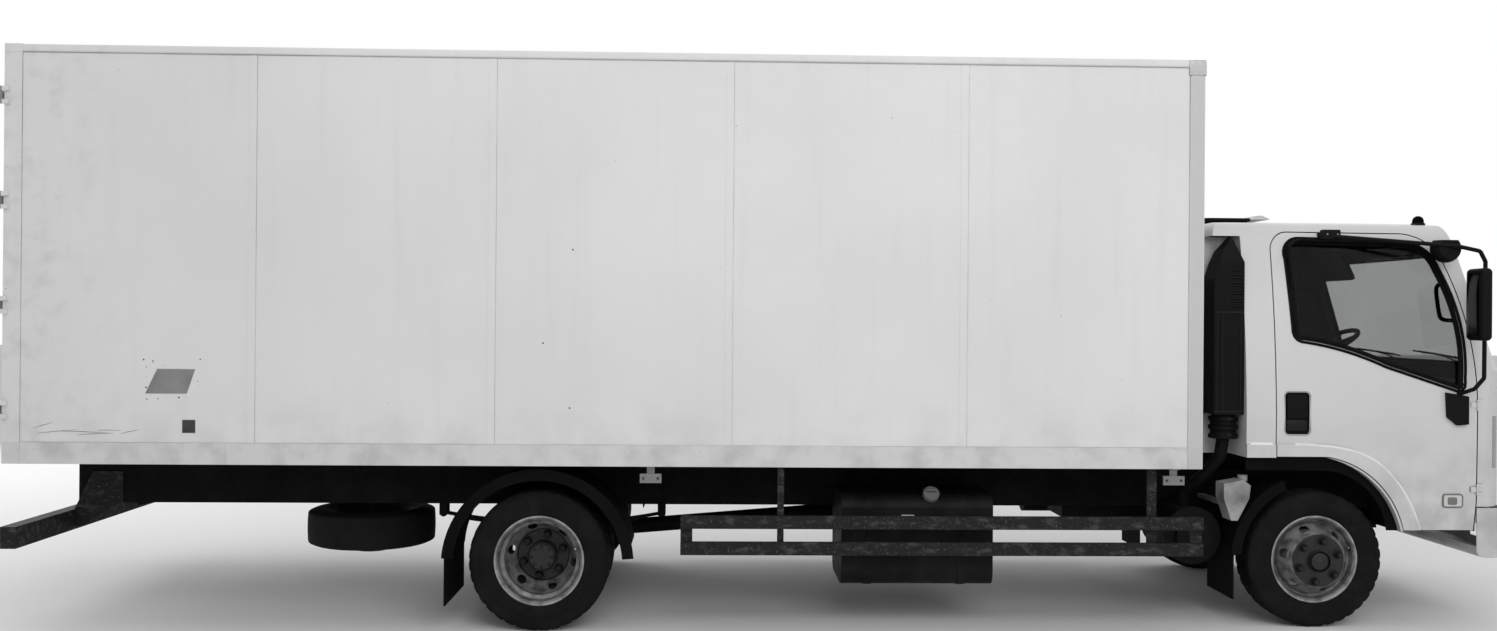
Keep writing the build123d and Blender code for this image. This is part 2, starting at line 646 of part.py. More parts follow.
def bumper_plan(inset):
    """Plan outline of the bumper, bowed in front and turned round the corners."""
    y = 985 - inset
    nose = FRONT_OVERHANG - inset
    edge = nose - 62
    back = BUMPER_BACK + inset
    bow = ThreePointArc((edge, -y + 120), (nose, 0), (edge, y - 120))
    right = ThreePointArc((edge, -y + 120), (edge - 30, -y + 24), (edge - 105, -y))
    left = ThreePointArc((edge, y - 120), (edge - 30, y - 24), (edge - 105, y))
    tail = Polyline((edge - 105, -y), (back, -y), (back, y), (edge - 105, y))
    return make_face([bow, right, left, *tail.edges()])


def bumper_form(inset, height):
    """The bumper's plan carried up, with its lower edges rounded in side view."""
    length = FRONT_OVERHANG - BUMPER_BACK - 2 * inset
    middle = (FRONT_OVERHANG + BUMPER_BACK) / 2
    side = Pos(middle, inset + height) * RectangleRounded(length, 2 * height, 45)
    return extrude(bumper_plan(inset), amount=2 * height) & side_prism(side, -1000, 1000) & block(
        0, 2000, -1000, 1000, -10, height)


def bumper():
    """Pressed steel bumper, open behind, with a lower intake and fog lamp pockets."""
    height = BUMPER_TOP - BUMPER_LOW
    outer = bumper_form(0, height)
    inner = bumper_form(BUMPER_SHEET, height + 20)
    inner = inner + block(BUMPER_BACK - 60, 1000, BUMPER_SHEET - 985, 985 - BUMPER_SHEET, 60, height + 10)
    shell = outer - inner
    shell = shell - block(1000, 1200, -420, 420, 60, 130)
    shell = shell - [block(1000, 1200, s * 620 - 80, s * 620 + 80, 60, 130) for s in (-1, 1)]
    shell = Pos(XF, 0, BUMPER_LOW) * shell
    back = XF + BUMPER_CARRIER
    carrier = block(back, back + 16, -850, 850, RAIL_BOTTOM, RAIL_BOTTOM + 50)
    tabs = [block(back, XF + FRONT_OVERHANG - 2, s * 250 - 20, s * 250 + 20, RAIL_BOTTOM + 20, RAIL_BOTTOM + 30)
            for s in (-1, 1)]
    ends = [block(XF + 1000, back + 16, s * 840 - 20, s * 978, RAIL_BOTTOM + 20, RAIL_BOTTOM + 30)
            for s in (-1, 1)]
    return fuse([shell, carrier] + tabs + ends)


# Box

def box_floor():
    """Plank floor on cross bearers and two long sills, with the skirt rails along its edges."""
    y = BY - PROUD - BOX_WALL
    deck = block(BX0 + PORTAL_DEPTH, BX1 - BOX_WALL, -y, y, FLOOR_TOP - 28, FLOOR_TOP)
    pieces = [deck]
    count = 13
    first = BX0 + 300
    pitch = (BX1 - 200 - first) / (count - 1)
    for i in range(count):
        x = first + i * pitch
        pieces.append(block(x - 20, x + 20, -y, y, BOX_BOTTOM, FLOOR_TOP - 28))
    for s in (-1, 1):
        outer = FRAME_W / 2
        pieces.append(block(BX0 + 100, BX1 - 30, s * (outer - RAIL_FLANGE), s * outer, RAIL_TOP, BOX_BOTTOM))
        web = block(BX0 + PORTAL_DEPTH, BX1 - POST_W, s * (BY - 6), s * BY,
                    BOX_BOTTOM, FLOOR_TOP)
        foot = block(BX0 + PORTAL_DEPTH, BX1 - POST_W, s * y, s * BY, BOX_BOTTOM,
                     BOX_BOTTOM + 10)
        pieces += [web, foot]
    return fuse(pieces)


def box_side():
    """Left side wall with its seam strips."""
    y1 = BY - PROUD
    y0 = y1 - BOX_WALL
    x0 = BX0 + PORTAL_DEPTH
    x1 = BX1 - POST_W
    wall = block(x0, x1, y0, y1, FLOOR_TOP, BOX_TOP - TOP_RAIL_H)
    strips = []
    for i in range(1, PANEL_COUNT):
        x = BX0 + PANEL_EDGE + i * PANEL_PITCH - 26
        strips.append(block(x, x + SEAM_W, y1, y1 + 2, FLOOR_TOP, BOX_TOP - TOP_RAIL_H))
    return fuse([wall] + strips)


def box_sides():
    return both_sides(box_side())


def box_front_wall():
    """Front wall with its two corner posts."""
    y = BY - PROUD
    wall = block(BX1 - BOX_WALL, BX1 - PROUD, -BY + POST_W, BY - POST_W, BOX_BOTTOM, BOX_TOP - TOP_RAIL_H)
    posts = []
    for s in (-1, 1):
        post = Pos((BX1 - POST_W / 2), s * (BY - POST_W / 2), 0) * RectangleRounded(POST_W, POST_W, 16)
        post = Pos(0, 0, BOX_BOTTOM) * extrude(post, amount=BOX_TOP - TOP_RAIL_H - BOX_BOTTOM)
        cut = block(BX1 - POST_W - 1, BX1 - BOX_WALL, s * 0, s * (y - BOX_WALL), BOX_BOTTOM - 1, BOX_TOP)
        posts.append(post - cut)
    return fuse([wall] + posts)


def box_roof():
    """Roof skin with cant rails along both sides and across the front."""
    rail = Pos(0, BOX_TOP - TOP_RAIL_H / 2) * RectangleRounded(BOX_W, TOP_RAIL_H, 14)
    lid = front_prism(rail, BX0 + PORTAL_DEPTH, BX1)
    y = BY - PROUD - BOX_WALL
    hollow = block(BX0, BX1 - BOX_WALL, -y, y, BOX_TOP - TOP_RAIL_H - 1, BOX_TOP - BOX_ROOF)
    return lid - hollow


def rear_portal():
    """Rear frame: sill, posts and header, with the fixed halves of eight hinges."""
    frame = block(BX0, BX0 + PORTAL_DEPTH, -BY, BY, BOX_BOTTOM, BOX_TOP)
    mouth = block(BX0 - 1, BX0 + PORTAL_DEPTH + 1, -BY + POST_W, BY - POST_W, BOX_BOTTOM + SILL_H,
                  BOX_TOP - HEADER_H)
    portal = frame - mouth
    for s in (-1, 1):
        y = s * (BY + HINGE_OUT)
        for z in HINGE_Z:
            for lift in (-34, 34):
                ear = block(BX0 - HINGE_OUT, BX0 + 30, s * (BY - 10), y,
                            z + lift - 11, z + lift + 11)
                ear = ear - block(BX0 - HINGE_OUT - 1, BX0 - 0.5, s * (BY - 12), s * (BY + 5), z - 60, z + 60)
                barrel = rod((BX0 - HINGE_OUT, y, z + lift - 11), (BX0 - HINGE_OUT, y, z + lift + 11), HINGE_R)
                portal = fuse([portal, ear, barrel])
            portal = portal + rod((BX0 - HINGE_OUT, y, z - 40), (BX0 - HINGE_OUT, y, z + 40), HINGE_R - 4)
    return portal


REAR_DOOR_Z0 = BOX_BOTTOM + SILL_H + GAP
REAR_DOOR_Z1 = BOX_TOP - HEADER_H - GAP
HINGE_Z = [REAR_DOOR_Z0 + 160 + i * (REAR_DOOR_Z1 - REAR_DOOR_Z0 - 320) / 3 for i in range(4)]


def rear_door():
    """Left rear door with its edge frame, hinge straps, two lock bars and their handles."""
    y1 = BY - POST_W - GAP
    panel = block(BX0, BX0 + DOOR_SHEET, GAP / 2, y1, REAR_DOOR_Z0, REAR_DOOR_Z1)
    pieces = [panel]
    axis_x = BX0 - HINGE_OUT
    axis_y = BY + HINGE_OUT
    for z in HINGE_Z:
        strap = block(axis_x + 3, axis_x + 11, y1 - 120, axis_y, z - 22, z + 22)
        pad = block(axis_x + 3, BX0, y1 - 120, y1 - 4, z - 22, z + 22)
        barrel = rod((axis_x, axis_y, z - 22), (axis_x, axis_y, z + 22), HINGE_R)
        bore = rod((axis_x, axis_y, z - 23), (axis_x, axis_y, z + 23), HINGE_R - 3.5)
        pieces.append(fuse([strap, pad, barrel]) - bore)
    for y in (150, y1 - 260):
        x = BX0 - 15
        bar = rod((x, y, REAR_DOOR_Z0 - 60), (x, y, REAR_DOOR_Z1 + 60), 11)
        guides = [block(BX0 - 20, BX0, y - 26, y + 26, z - 16, z + 16)
                  for z in (REAR_DOOR_Z0 + 90, REAR_DOOR_Z0 + 620, REAR_DOOR_Z1 - 600, REAR_DOOR_Z1 - 90)]
        handle = block(BX0 - 26, BX0 - 16, y, y + 240, REAR_DOOR_Z0 + 330, REAR_DOOR_Z0 + 362)
        rest = block(BX0 - 18, BX0, y + 190, y + 220, REAR_DOOR_Z0 + 325, REAR_DOOR_Z0 + 367)
        pieces += [bar, handle, rest] + guides
    return fuse(pieces)


# Cab. cab_body(inset) is the outer form, or a smaller one inside it by that much.

def screen_shift(z):
    """How far the raked screen lies behind its foot at a height."""
    return (z - SCREEN_Z) * math.tan(math.radians(SCREEN_RAKE))


def cab_side_outline(inset):
    """Side view: upright nose, raked windscreen, rounded brow and a slightly crowned roof."""
    eave = CAB_TOP - 25
    heel_z = CAB_TOP - 137
    lead = CAB_NOSE + 6
    top_x = lead - screen_shift(SCREEN_TOP)
    nose = Line((CAB_NOSE - 12, CAB_SKIRT), (CAB_NOSE, 1120))
    knee = Line((CAB_NOSE, 1120), (lead, SCREEN_Z))
    screen = Line((lead, SCREEN_Z), (top_x, SCREEN_TOP))
    brow = ThreePointArc((top_x, SCREEN_TOP), (top_x - 47, eave - 62), (top_x - 195, eave))
    roof = ThreePointArc((top_x - 195, eave), (180, CAB_TOP), (CAB_BACK + 110, eave))
    heel = ThreePointArc((CAB_BACK + 110, eave), (CAB_BACK + 30, eave - 32), (CAB_BACK, heel_z))
    back = Line((CAB_BACK, heel_z), (CAB_BACK, CAB_SKIRT))
    base = Line((CAB_BACK, CAB_SKIRT), (CAB_NOSE - 12, CAB_SKIRT))
    face = make_face([nose, knee, screen, brow, roof, heel, back, base])
    return offset(face, -inset, kind=Kind.INTERSECTION) if inset else face


def cab_front_outline(inset):
    """Front view: upright to the belt, leaning in above it, rounded into the roof."""
    belt = CAB_W / 2
    eave = CAB_ROOF_W / 2
    foot = CAB_FLOOR_W / 2
    shoulder = CAB_TOP - 157
    edge = CAB_TOP - 41
    edges = [Line((-foot, CAB_SKIRT - 100), (foot, CAB_SKIRT - 100))]
    for s in (-1, 1):
        edges.append(Line((s * foot, CAB_SKIRT - 100), (s * belt, CAB_BELT)))
        edges.append(ThreePointArc((s * belt, CAB_BELT), (s * (belt - 26), 1560), (s * eave, shoulder)))
        edges.append(ThreePointArc((s * eave, shoulder), (s * (eave - 30), shoulder + 70), (s * (eave - 110), edge)))
    top = ThreePointArc((-eave + 110, edge), (0, CAB_TOP + 6), (eave - 110, edge))
    face = make_face(edges + [top])
    return offset(face, -inset, kind=Kind.INTERSECTION) if inset else face


def cab_plan_outline(inset):
    """Plan view: straight sides, round front corners and a bowed nose."""
    y = CAB_W / 2 + 2
    corner = CAB_NOSE - 52
    edges = [Line((CAB_BACK - 60, -y), (CAB_BACK - 60, y))]
    for s in (-1, 1):
        edges.append(Line((CAB_BACK - 60, s * y), (corner - 165, s * y)))
        edges.append(ThreePointArc((corner - 165, s * y), (corner - 52, s * (y - 38)), (corner, s * (y - 130))))
    bow = ThreePointArc((corner, -y + 130), (CAB_NOSE + 4, 0), (corner, y - 130))
    face = make_face(edges + [bow])
    return offset(face, -inset) if inset else face


def cab_body(inset):
    """The cab's form as the common part of its side, front and plan outlines."""
    side = side_prism(cab_side_outline(inset), -CAB_W, CAB_W)
    front = front_prism(cab_front_outline(inset), CAB_BACK - 100, CAB_NOSE + 100)
    plan = cab_plan_outline(inset)
    rake = math.radians(SCREEN_RAKE)
    leaning = extrude(Pos(0, 0, SCREEN_Z) * plan, amount=CAB_TOP, dir=(-math.sin(rake), 0, math.cos(rake)))
    return side & front & (extrude(plan, amount=SCREEN_Z) + leaning)


def arch_path():
    """Wheel arch edge of the cab, from the door's foot back to the rear column."""
    return [Line((435, CAB_SKIRT), (435, CAB_SKIRT - 60)),
            ThreePointArc((435, CAB_SKIRT), (300, 782), (30, ARCH_TOP)),
            Line((30, ARCH_TOP), (CAB_BACK - 60, ARCH_TOP)),
            Line((CAB_BACK - 60, ARCH_TOP), (CAB_BACK - 60, CAB_SKIRT - 60)),
            Line((CAB_BACK - 60, CAB_SKIRT - 60), (435, CAB_SKIRT - 60))]


def door_outline():
    """Shut line of the cab door, seen from the side."""
    rear = DOOR_REAR
    top = DOOR_TOP
    corner = ThreePointArc((rear, top - 110), (rear + 30, top - 32), (rear + 105, top))
    head = Line((rear + 105, top), (450, top - 4))
    brow = ThreePointArc((450, top - 4), (625, top - 55), (712, 1975))
    shut = ThreePointArc((712, 1975), (815, 1640), (DOOR_X, 1270))
    front = Line((DOOR_X, 1270), (DOOR_X, 700))
    step = Line((DOOR_X, 700), (DOOR_X - 14, CAB_SKIRT))
    foot = Line((DOOR_X - 14, CAB_SKIRT), (446, CAB_SKIRT))
    arch = ThreePointArc((446, CAB_SKIRT), (308, 789), (34, ARCH_TOP))
    sill = Line((34, ARCH_TOP), (rear, ARCH_TOP))
    back = Line((rear, ARCH_TOP), (rear, top - 110))
    return make_face([corner, head, brow, shut, front, step, foot, arch, sill, back])


def arch_flare():
    """Raised lip over the left wheel arch, with a soft crease along its top."""
    crest = ARCH_TOP + 73
    foot = 546
    line = Line((CAB_COLUMN, crest), (0, crest))
    curve = ThreePointArc((0, crest), (392, 836), (foot, CAB_SKIRT))
    base = Line((foot, CAB_SKIRT), (435, CAB_SKIRT))
    arch = ThreePointArc((435, CAB_SKIRT), (300, 782), (30, ARCH_TOP))
    sill = Line((30, ARCH_TOP), (CAB_COLUMN, ARCH_TOP))
    back = Line((CAB_COLUMN, ARCH_TOP), (CAB_COLUMN, crest))
    face = make_face([line, curve, base, arch, sill, back])
    flare = side_prism(face, CAB_W / 2 - 25, CAB_W / 2 + FLARE_OUT)
    rim = [e for e in flare.faces().sort_by(Axis.Y)[-1].edges()
           if e.center().Z > ARCH_TOP + 40 or e.center().X > 400]
    return chamfer([e for e in rim if e.length > 300], FLARE_OUT - 1)


def handle_pocket():
    """Recess for the outside handle of the left door."""
    x, z, width, height = DOOR_HANDLE
    return side_prism(Pos(x, z) * RectangleRounded(width, height, 22), CAB_W / 2 - 18, CAB_W / 2 + 50)


def window_outline():
    """Daylight of the door's window: upright behind, raked in front, its sill falling forward."""
    return make_face([Line((-158, 2000), (-135, 1610)),
                      ThreePointArc((-135, 1610), (-120, 1570), (-80, 1556)),
                      ThreePointArc((-80, 1556), (150, 1505), (360, 1425)),
                      Line((360, 1425), (740, 1300)),
                      ThreePointArc((740, 1300), (770, 1305), (778, 1340)),
                      ThreePointArc((778, 1340), (758, 1690), (668, 1950)),
                      ThreePointArc((668, 1950), (600, 2050), (470, 2092)),
                      Line((470, 2092), (-80, 2104)),
                      ThreePointArc((-80, 2104), (-146, 2078), (-158, 2000))])


def windscreen_outline(grow=0):
    """Windscreen seen from the front."""
    low = SCREEN_Z + 15
    high = SCREEN_TOP
    frame = polygon([(-850, low), (850, low), (770, high), (-770, high)])
    frame = fillet(frame.vertices(), 70)
    return offset(frame, grow) if grow else frame


REAR_WINDOW = (1000, 380, 1760)          # width, height and middle height


def rear_window_outline(grow=0):
    width, height, middle = REAR_WINDOW
    return Pos(0, middle) * RectangleRounded(width + 2 * grow, height + 2 * grow, 60 + grow)


def grille_slots():
    """Three slots across the front panel, parted by uprights."""
    slots = []
    for z in (930, 1000, 1070):
        for y in (-430, -145, 145, 430):
            slots.append(block(900, 1200, y - 130, y + 130, z, z + 42))
    return slots


HEADLAMP = (585, 880, 690, 868)          # inner and outer Y, lower and upper Z
CORNER_LAMP = (885, 990, 874, 1154)


def headlamp_prism(grow):
    y0, y1, z0, z1 = HEADLAMP
    return block(CAB_NOSE - 150, CAB_NOSE + 50, y0 - grow, y1 + grow, z0 - grow, z1 + grow)


def corner_lamp_prism(grow):
    y0, y1, z0, z1 = CORNER_LAMP
    return block(CAB_NOSE - 130 - grow, CAB_NOSE + 50, y0 - grow, y1 + grow, z0 - grow, z1 + grow)


def panel_prism(grow):
    """Space of the removable front panel between the lamps."""
    return block(CAB_NOSE - 100, CAB_NOSE + 60, -800 - grow, 800 + grow, 880 - grow, 1210 + grow)


def cab_shell(body, lining):
    """Hollow cab: floor, back, roof, pillars and nose, open at doors and windows."""
    shell = body - side_prism(make_face(arch_path()), -CAB_W, CAB_W)
    shell = shell - block(700, 1300, -CAB_W, CAB_W, 0, NOSE_BOTTOM) + (
        body & block(DOOR_X - 330, DOOR_X - GAP, -CAB_W, CAB_W, CAB_SKIRT, NOSE_BOTTOM + 1))
    room = lining & block(CAB_BACK, 1200, -CAB_W, CAB_W, CAB_FLOOR, 3000)
    feet = lining & block(485, 1200, -CAB_W, CAB_W, FOOT_FLOOR, 3000)
    under = block(CAB_BACK - 50, 1030, -700, 700, 0, FOOT_FLOOR - FLOOR_SHEET)
    well = polygon([(500, CAB_SKIRT + 56), (DOOR_X - 60, CAB_SKIRT + 56), (DOOR_X - 60, 1000), (250, 1000),
                    (250, FOOT_FLOOR - FLOOR_SHEET), (360, 790)])
    steps = [side_prism(well, s * 740, s * 1200) for s in (-1, 1)]
    voids = [block(DOOR_X + 6, CAB_NOSE - 125, s * 690, s * 900, 0, FOOT_FLOOR - FLOOR_SHEET) for s in (-1, 1)]
    treads = [block(470, DOOR_X - 20, s * 700, s * 940, CAB_SKIRT + 6, CAB_SKIRT + 56) for s in (-1, 1)]
    tunnel = block(CAB_BACK - 50, 485, -COVER_Y + FLOOR_SHEET, COVER_Y - FLOOR_SHEET, 0, COVER_TOP - 30)
    hollow = fuse([room, feet]) - block(CAB_BACK, 525, -COVER_Y, COVER_Y, CAB_FLOOR - 5, COVER_TOP)
    cover = block(CAB_BACK + 20, 525, -COVER_Y, COVER_Y, 940, COVER_TOP)
    shell = fuse([shell - hollow - under, cover]) - tunnel
    shell = shell - steps - voids
    doorway = door_outline()
    for s in (-1, 1):
        side = side_prism(doorway, s * 700, s * 1200) - cab_body(CAB_WALL)
        shell = shell - side
        notch = block(CAB_BACK - 60, CAB_COLUMN, s * 745, s * 1200, 0, 2122)
        shell = shell - notch
    closing = block(CAB_COLUMN, CAB_COLUMN + CAB_WALL, -1000, 1000, ARCH_TOP, 2122) & body
    closing = closing - block(CAB_BACK, 1000, -745 + CAB_WALL, 745 - CAB_WALL, 0, 3000)
    cheeks = [block(CAB_BACK, CAB_COLUMN + CAB_WALL, s * 695, s * 745, ARCH_TOP,
                    2122) & body for s in (-1, 1)]
    ledge = (block(CAB_BACK, CAB_COLUMN + 10, -900, 900, 2122, 2150) & body) - block(
        CAB_BACK, 0, -695, 695, 0, 3000)
    shell = fuse([shell, closing, ledge] + cheeks + treads)
    shell = shell - front_prism(windscreen_outline(), 700, 1300)
    shell = shell - front_prism(rear_window_outline(), CAB_BACK - 60, CAB_BACK + 100)
    return shell


def cab_lugs():
    """Ears under the cab's nose that turn on the tilt pins."""
    lugs = []
    for s in (-1, 1):
        y = s * (FRAME_W / 2 - 26)
        plate = polygon([(TILT_X - 24, TILT_Z - 6), (TILT_X, TILT_Z - 24), (TILT_X + 20, TILT_Z - 10),
                         (TILT_X + 24, FOOT_FLOOR - FLOOR_SHEET + 5), (TILT_X - 40, FOOT_FLOOR - FLOOR_SHEET + 5)])
        lug = side_prism(plate, y - 9, y + 9)
        lugs.append(lug - rod((TILT_X, y - 20, TILT_Z), (TILT_X, y + 20, TILT_Z), TILT_PIN_R + 1))
    return lugs


def arch_line(drop, foot):
    """A line parallel to the cab's arch, from the rear column forward and down to its foot."""
    x, z = foot
    level = ARCH_TOP - drop
    return [Line((CAB_COLUMN + 6, level), (30, level)),
            ThreePointArc((30, level), (296 - 0.42 * drop, 779 - 0.36 * drop), (x, z))]


def arch_liner():
    """Moulded liner under the left arch of the cab, with the dark band that hangs at its mouth."""
    top = arch_line(0.5, (434, CAB_SKIRT))
    under = arch_line(SKIN, (434 - SKIN, CAB_SKIRT))
    lower = arch_line(72, (372, CAB_SKIRT))
    ends = [Line(top[0] @ 0, under[0] @ 0), Line(top[1] @ 1, under[1] @ 1)]
    shell = side_prism(make_face(top + under + ends), 710, LINER_Y)
    ends = [Line(top[0] @ 0, lower[0] @ 0), Line(top[1] @ 1, lower[1] @ 1)]
    band = side_prism(make_face(top + lower + ends), LINER_Y - SKIN, LINER_Y)
    return Pos(XF, 0, 0) * fuse([band, shell])


def intake_tower():
    """Dark snorkel on the right rear corner of the cab, with a pitched hood and louvres."""
    x0 = CAB_COLUMN - 167
    x1 = CAB_COLUMN - 3
    y0 = -965
    y1 = -800
    trunk = block(x0, x1, y0, y1, TOWER_Z0, 1975)
    hood = loft([Plane.XY.offset(1975) * Pos((x0 + x1) / 2, (y0 + y1) / 2) * Rectangle(x1 - x0, y1 - y0),
                 Plane.XY.offset(2108) * Pos(x0 + 110, (y0 + y1) / 2) * Rectangle(8, 70)])
    bevel = polygon([(x0 - 1, 1880), (x0 + 52, 2045), (x0 + 52, 2200), (x0 - 200, 2200), (x0 - 200, 1880)])
    louvres = [block(x0 + 95, x0 + 158, y0 - 1, y0 + 8, 1730 + 21 * i, 1740 + 21 * i) for i in range(10)]
    feet = [block(x1 - 20, CAB_COLUMN, y0 + 40, y1 - 40, z, z + 60) for z in (1300, 1850)]
    tower = fuse([trunk, hood] + feet) - side_prism(bevel, -1000, -700) - louvres
    return Pos(XF, 0, 0) * tower


def dashboard():
    """Dash moulding under the windscreen with the steering column."""
    outline = polygon([(1100, 1010), (1100, 1300), (985, 1310), (900, 1345), (800, 1325), (760, 1240),
                       (790, 1120), (900, 1010)])
    dash = cab_body(CAB_WALL) & side_prism(outline, -DASH_W / 2, DASH_W / 2)
    column = rod((905, WHEEL_Y, 1240), STEER_AT_LOW, 36)
    return fuse([dash, column])


DASH_W = 1850
WHEEL_Y = 480                # steering wheel, left of the middle
WHEEL_AT = Vector(700, WHEEL_Y, 1500)
COLUMN_RAKE = 28             # degrees from upright, leaning forward at its foot
COLUMN_DIR = Vector(-math.sin(math.radians(COLUMN_RAKE)), 0, math.cos(math.radians(COLUMN_RAKE)))
STEER_AT_LOW = tuple(WHEEL_AT - COLUMN_DIR * 70)
STEER_WHEEL_R = 220


def steering_wheel():
    """Rim, hub and four spokes on the end of the column."""
    rim = Torus(STEER_WHEEL_R, 15)
    hub = Pos(0, 0, -30) * Cylinder(48, 62)
    spokes = [Rot(0, 0, a) * Pos(STEER_WHEEL_R / 2, 0, -10) * Box(STEER_WHEEL_R, 30, 12)
              for a in (35, 145, 215, 325)]
    plane = Plane(origin=WHEEL_AT + Vector(XF, 0, 0), z_dir=COLUMN_DIR)
    return plane * fuse([rim, hub] + spokes)


def seats():
    """Driver's seat and a wider bench for two, each a cushion and a back on its plinth."""
    solids = []
    rows = (
        # middle and width of the seat, then its plinth beside the engine cover
        (WHEEL_Y, 500, 385, 690),
        (-330, 900, -740, -385),
    )
    for y, width, leg_y0, leg_y1 in rows:
        cushion = block(-120, 360, y - width / 2, y + width / 2, SEAT_Z - 120, SEAT_Z)
        back = Pos(-180, y, SEAT_Z + 280) * Rot(0, -10, 0) * Box(110, width, 620)
        pan = block(-60, 300, y - width / 2 + 60, y + width / 2 - 60, COVER_TOP, SEAT_Z - 120)
        plinth = block(-60, 300, leg_y0, leg_y1, CAB_FLOOR, COVER_TOP)
        solids.append(Pos(XF, 0, 0) * fuse([cushion, back, pan, plinth]))
    return solids


def mirror_set(body):
    """Left mirrors: tube arm from the door's head and waist, main head, and a wide-angle head."""
    y = 1105
    arm = tube([(70, 925, 2124), (690, 1085, 2066), (800, y, 2040), (829, y, 1985), (826, y, 1365),
                (788, y - 22, 1306), (735, 1015, 1272)], 11, 24)
    head = Box(62, 190, 380)
    head = Pos(762, 1165, 1755) * Rot(0, 0, 6) * fillet(head.edges(), 24)
    clamps = [rod((829, y, z), (770, 1150, z), 10) for z in (1640, 1860)]
    wide = Pos(660, 1020, 2056) * (Sphere(76) & block(-80, 80, -50, 50, -76, 44))
    foot = polygon([(680, 1150), (735, 1106), (794, 1112), (794, 1262), (676, 1282)])
    foot = side_prism(foot, 985, 1024) - body
    shoe = block(24, 116, 870, 938, 2106, 2141) - body
    pieces = [shoe, foot, arm, head, wide] + clamps
    return Pos(XF, 0, 0) * fuse(pieces)


def roof_hatch():
    """Low ventilation hatch on the roof, its lid wider than its neck."""
    top = CAB_TOP + 31
    neck = block(-340, -100, -235, 235, CAB_TOP - 60, top - 10)
    lid = block(-360, -78, -258, 258, top - 16, top)
    lid = fillet(lid.edges().filter_by(Axis.Z), 40)
    return fuse([neck, lid]) - cab_body(-FIT)


def front_panel(body, lining):
    """Removable grille panel below the windscreen."""
    panel = (body - lining) & panel_prism(-2)
    return panel - grille_slots()


def door_knuckles():
    """Door halves of the left cab door's hinges, each a leaf with a bored barrel."""
    x, y = HINGE_AT
    halves = []
    for z in DOOR_HINGE_Z:
        leaf = block(x - 34, x, y - 14, y - 1, z - 14, z + 14)
        barrel = rod((x, y, z - 14), (x, y, z + 14), DOOR_HINGE_R)
        halves.append(fuse([leaf, barrel]) - rod((x, y, z - 15), (x, y, z + 15), DOOR_HINGE_R - 1.2 + FIT))
    return halves


def post_knuckles():
    """Cab halves of the same hinges, each two leaves with the pin between them."""
    x, y = HINGE_AT
    halves = []
    for z in DOOR_HINGE_Z:
        pin = rod((x, y, z - 30), (x, y, z + 30), DOOR_HINGE_R - 1.2)
        leaves = []
        for low, high in ((z - 30, z - 15), (z + 15, z + 30)):
            leaves.append(block(x, x + 34, y - 16, y - 1, low, high))
            leaves.append(rod((x, y, low), (x, y, high), DOOR_HINGE_R))
        halves.append(fuse([pin] + leaves))
    return halves


def cab_parts():
    """Every piece cut from the cab's own form, and what its doors carry."""
    body = cab_body(0)
    lining = cab_body(CAB_WALL)
    behind_panel = cab_body(PANEL)
    glass = cab_body(GLASS_INSET) - cab_body(GLASS_INSET + GLASS)
    shell = cab_shell(body, lining)
    shell = shell - (panel_prism(0) - behind_panel)
    lamps_back = cab_body(LAMP_DEPTH)
    for s in (-1, 1):
        for prism in (headlamp_prism(0.5), corner_lamp_prism(0.5)):
            pocket = prism - lamps_back
            shell = shell - (pocket if s > 0 else mirror(pocket, Plane.XZ))
    hinges = [solid for half in post_knuckles() for solid in both_sides(half)]
    shell = fuse([shell] + cab_lugs() + hinges)
    lamp_shell = body - lamps_back
    lamp_set = []
    for prism in (headlamp_prism(0), corner_lamp_prism(0)):
        lamp_set += both_sides(lamp_shell & prism)
    door_left = (body - lining) & side_prism(offset(door_outline(), -GAP), 600, 1200)
    door_left = door_left - block(300, DOOR_X, 500, CAB_W / 2 - CAB_WALL - 2, 0, CAB_SKIRT + CAB_WALL + 30)
    flare = arch_flare()
    door_left = door_left + (flare & side_prism(offset(door_outline(), -GAP), 900, 1200)) - handle_pocket()
    tail = flare - side_prism(door_outline(), 900, 1200)
    shell = shell + tail + mirror(tail, Plane.XZ)
    window = side_prism(window_outline(), 600, 1200)
    door_glass = glass & window
    door_left = fuse([door_left - window] + door_knuckles())
    screen = glass & front_prism(windscreen_outline(-0.5), 700, 1300)
    back_glass = glass & front_prism(rear_window_outline(-0.5), CAB_BACK - 50, CAB_BACK + 60)
    panel = front_panel(body, behind_panel)
    arms = mirror_set(body)
    at = Pos(XF, 0, 0)
    return {
        "cab_shell": at * shell,
        "dashboard": at * dashboard(),
        "front_panel": at * panel,
        "roof_hatch": at * roof_hatch(),
        "cab_lamps": [at * lamp for lamp in lamp_set],
        "cab_glass": [at * screen, at * back_glass],
        "cab_door_left": at * door_left,
        "cab_door_right": at * mirror(door_left, Plane.XZ),
        "mirrors_left": arms,
        "mirrors_right": mirror(arms, Plane.XZ),
        "door_glass_left": at * door_glass,
        "door_glass_right": at * mirror(door_glass, Plane.XZ),
    }


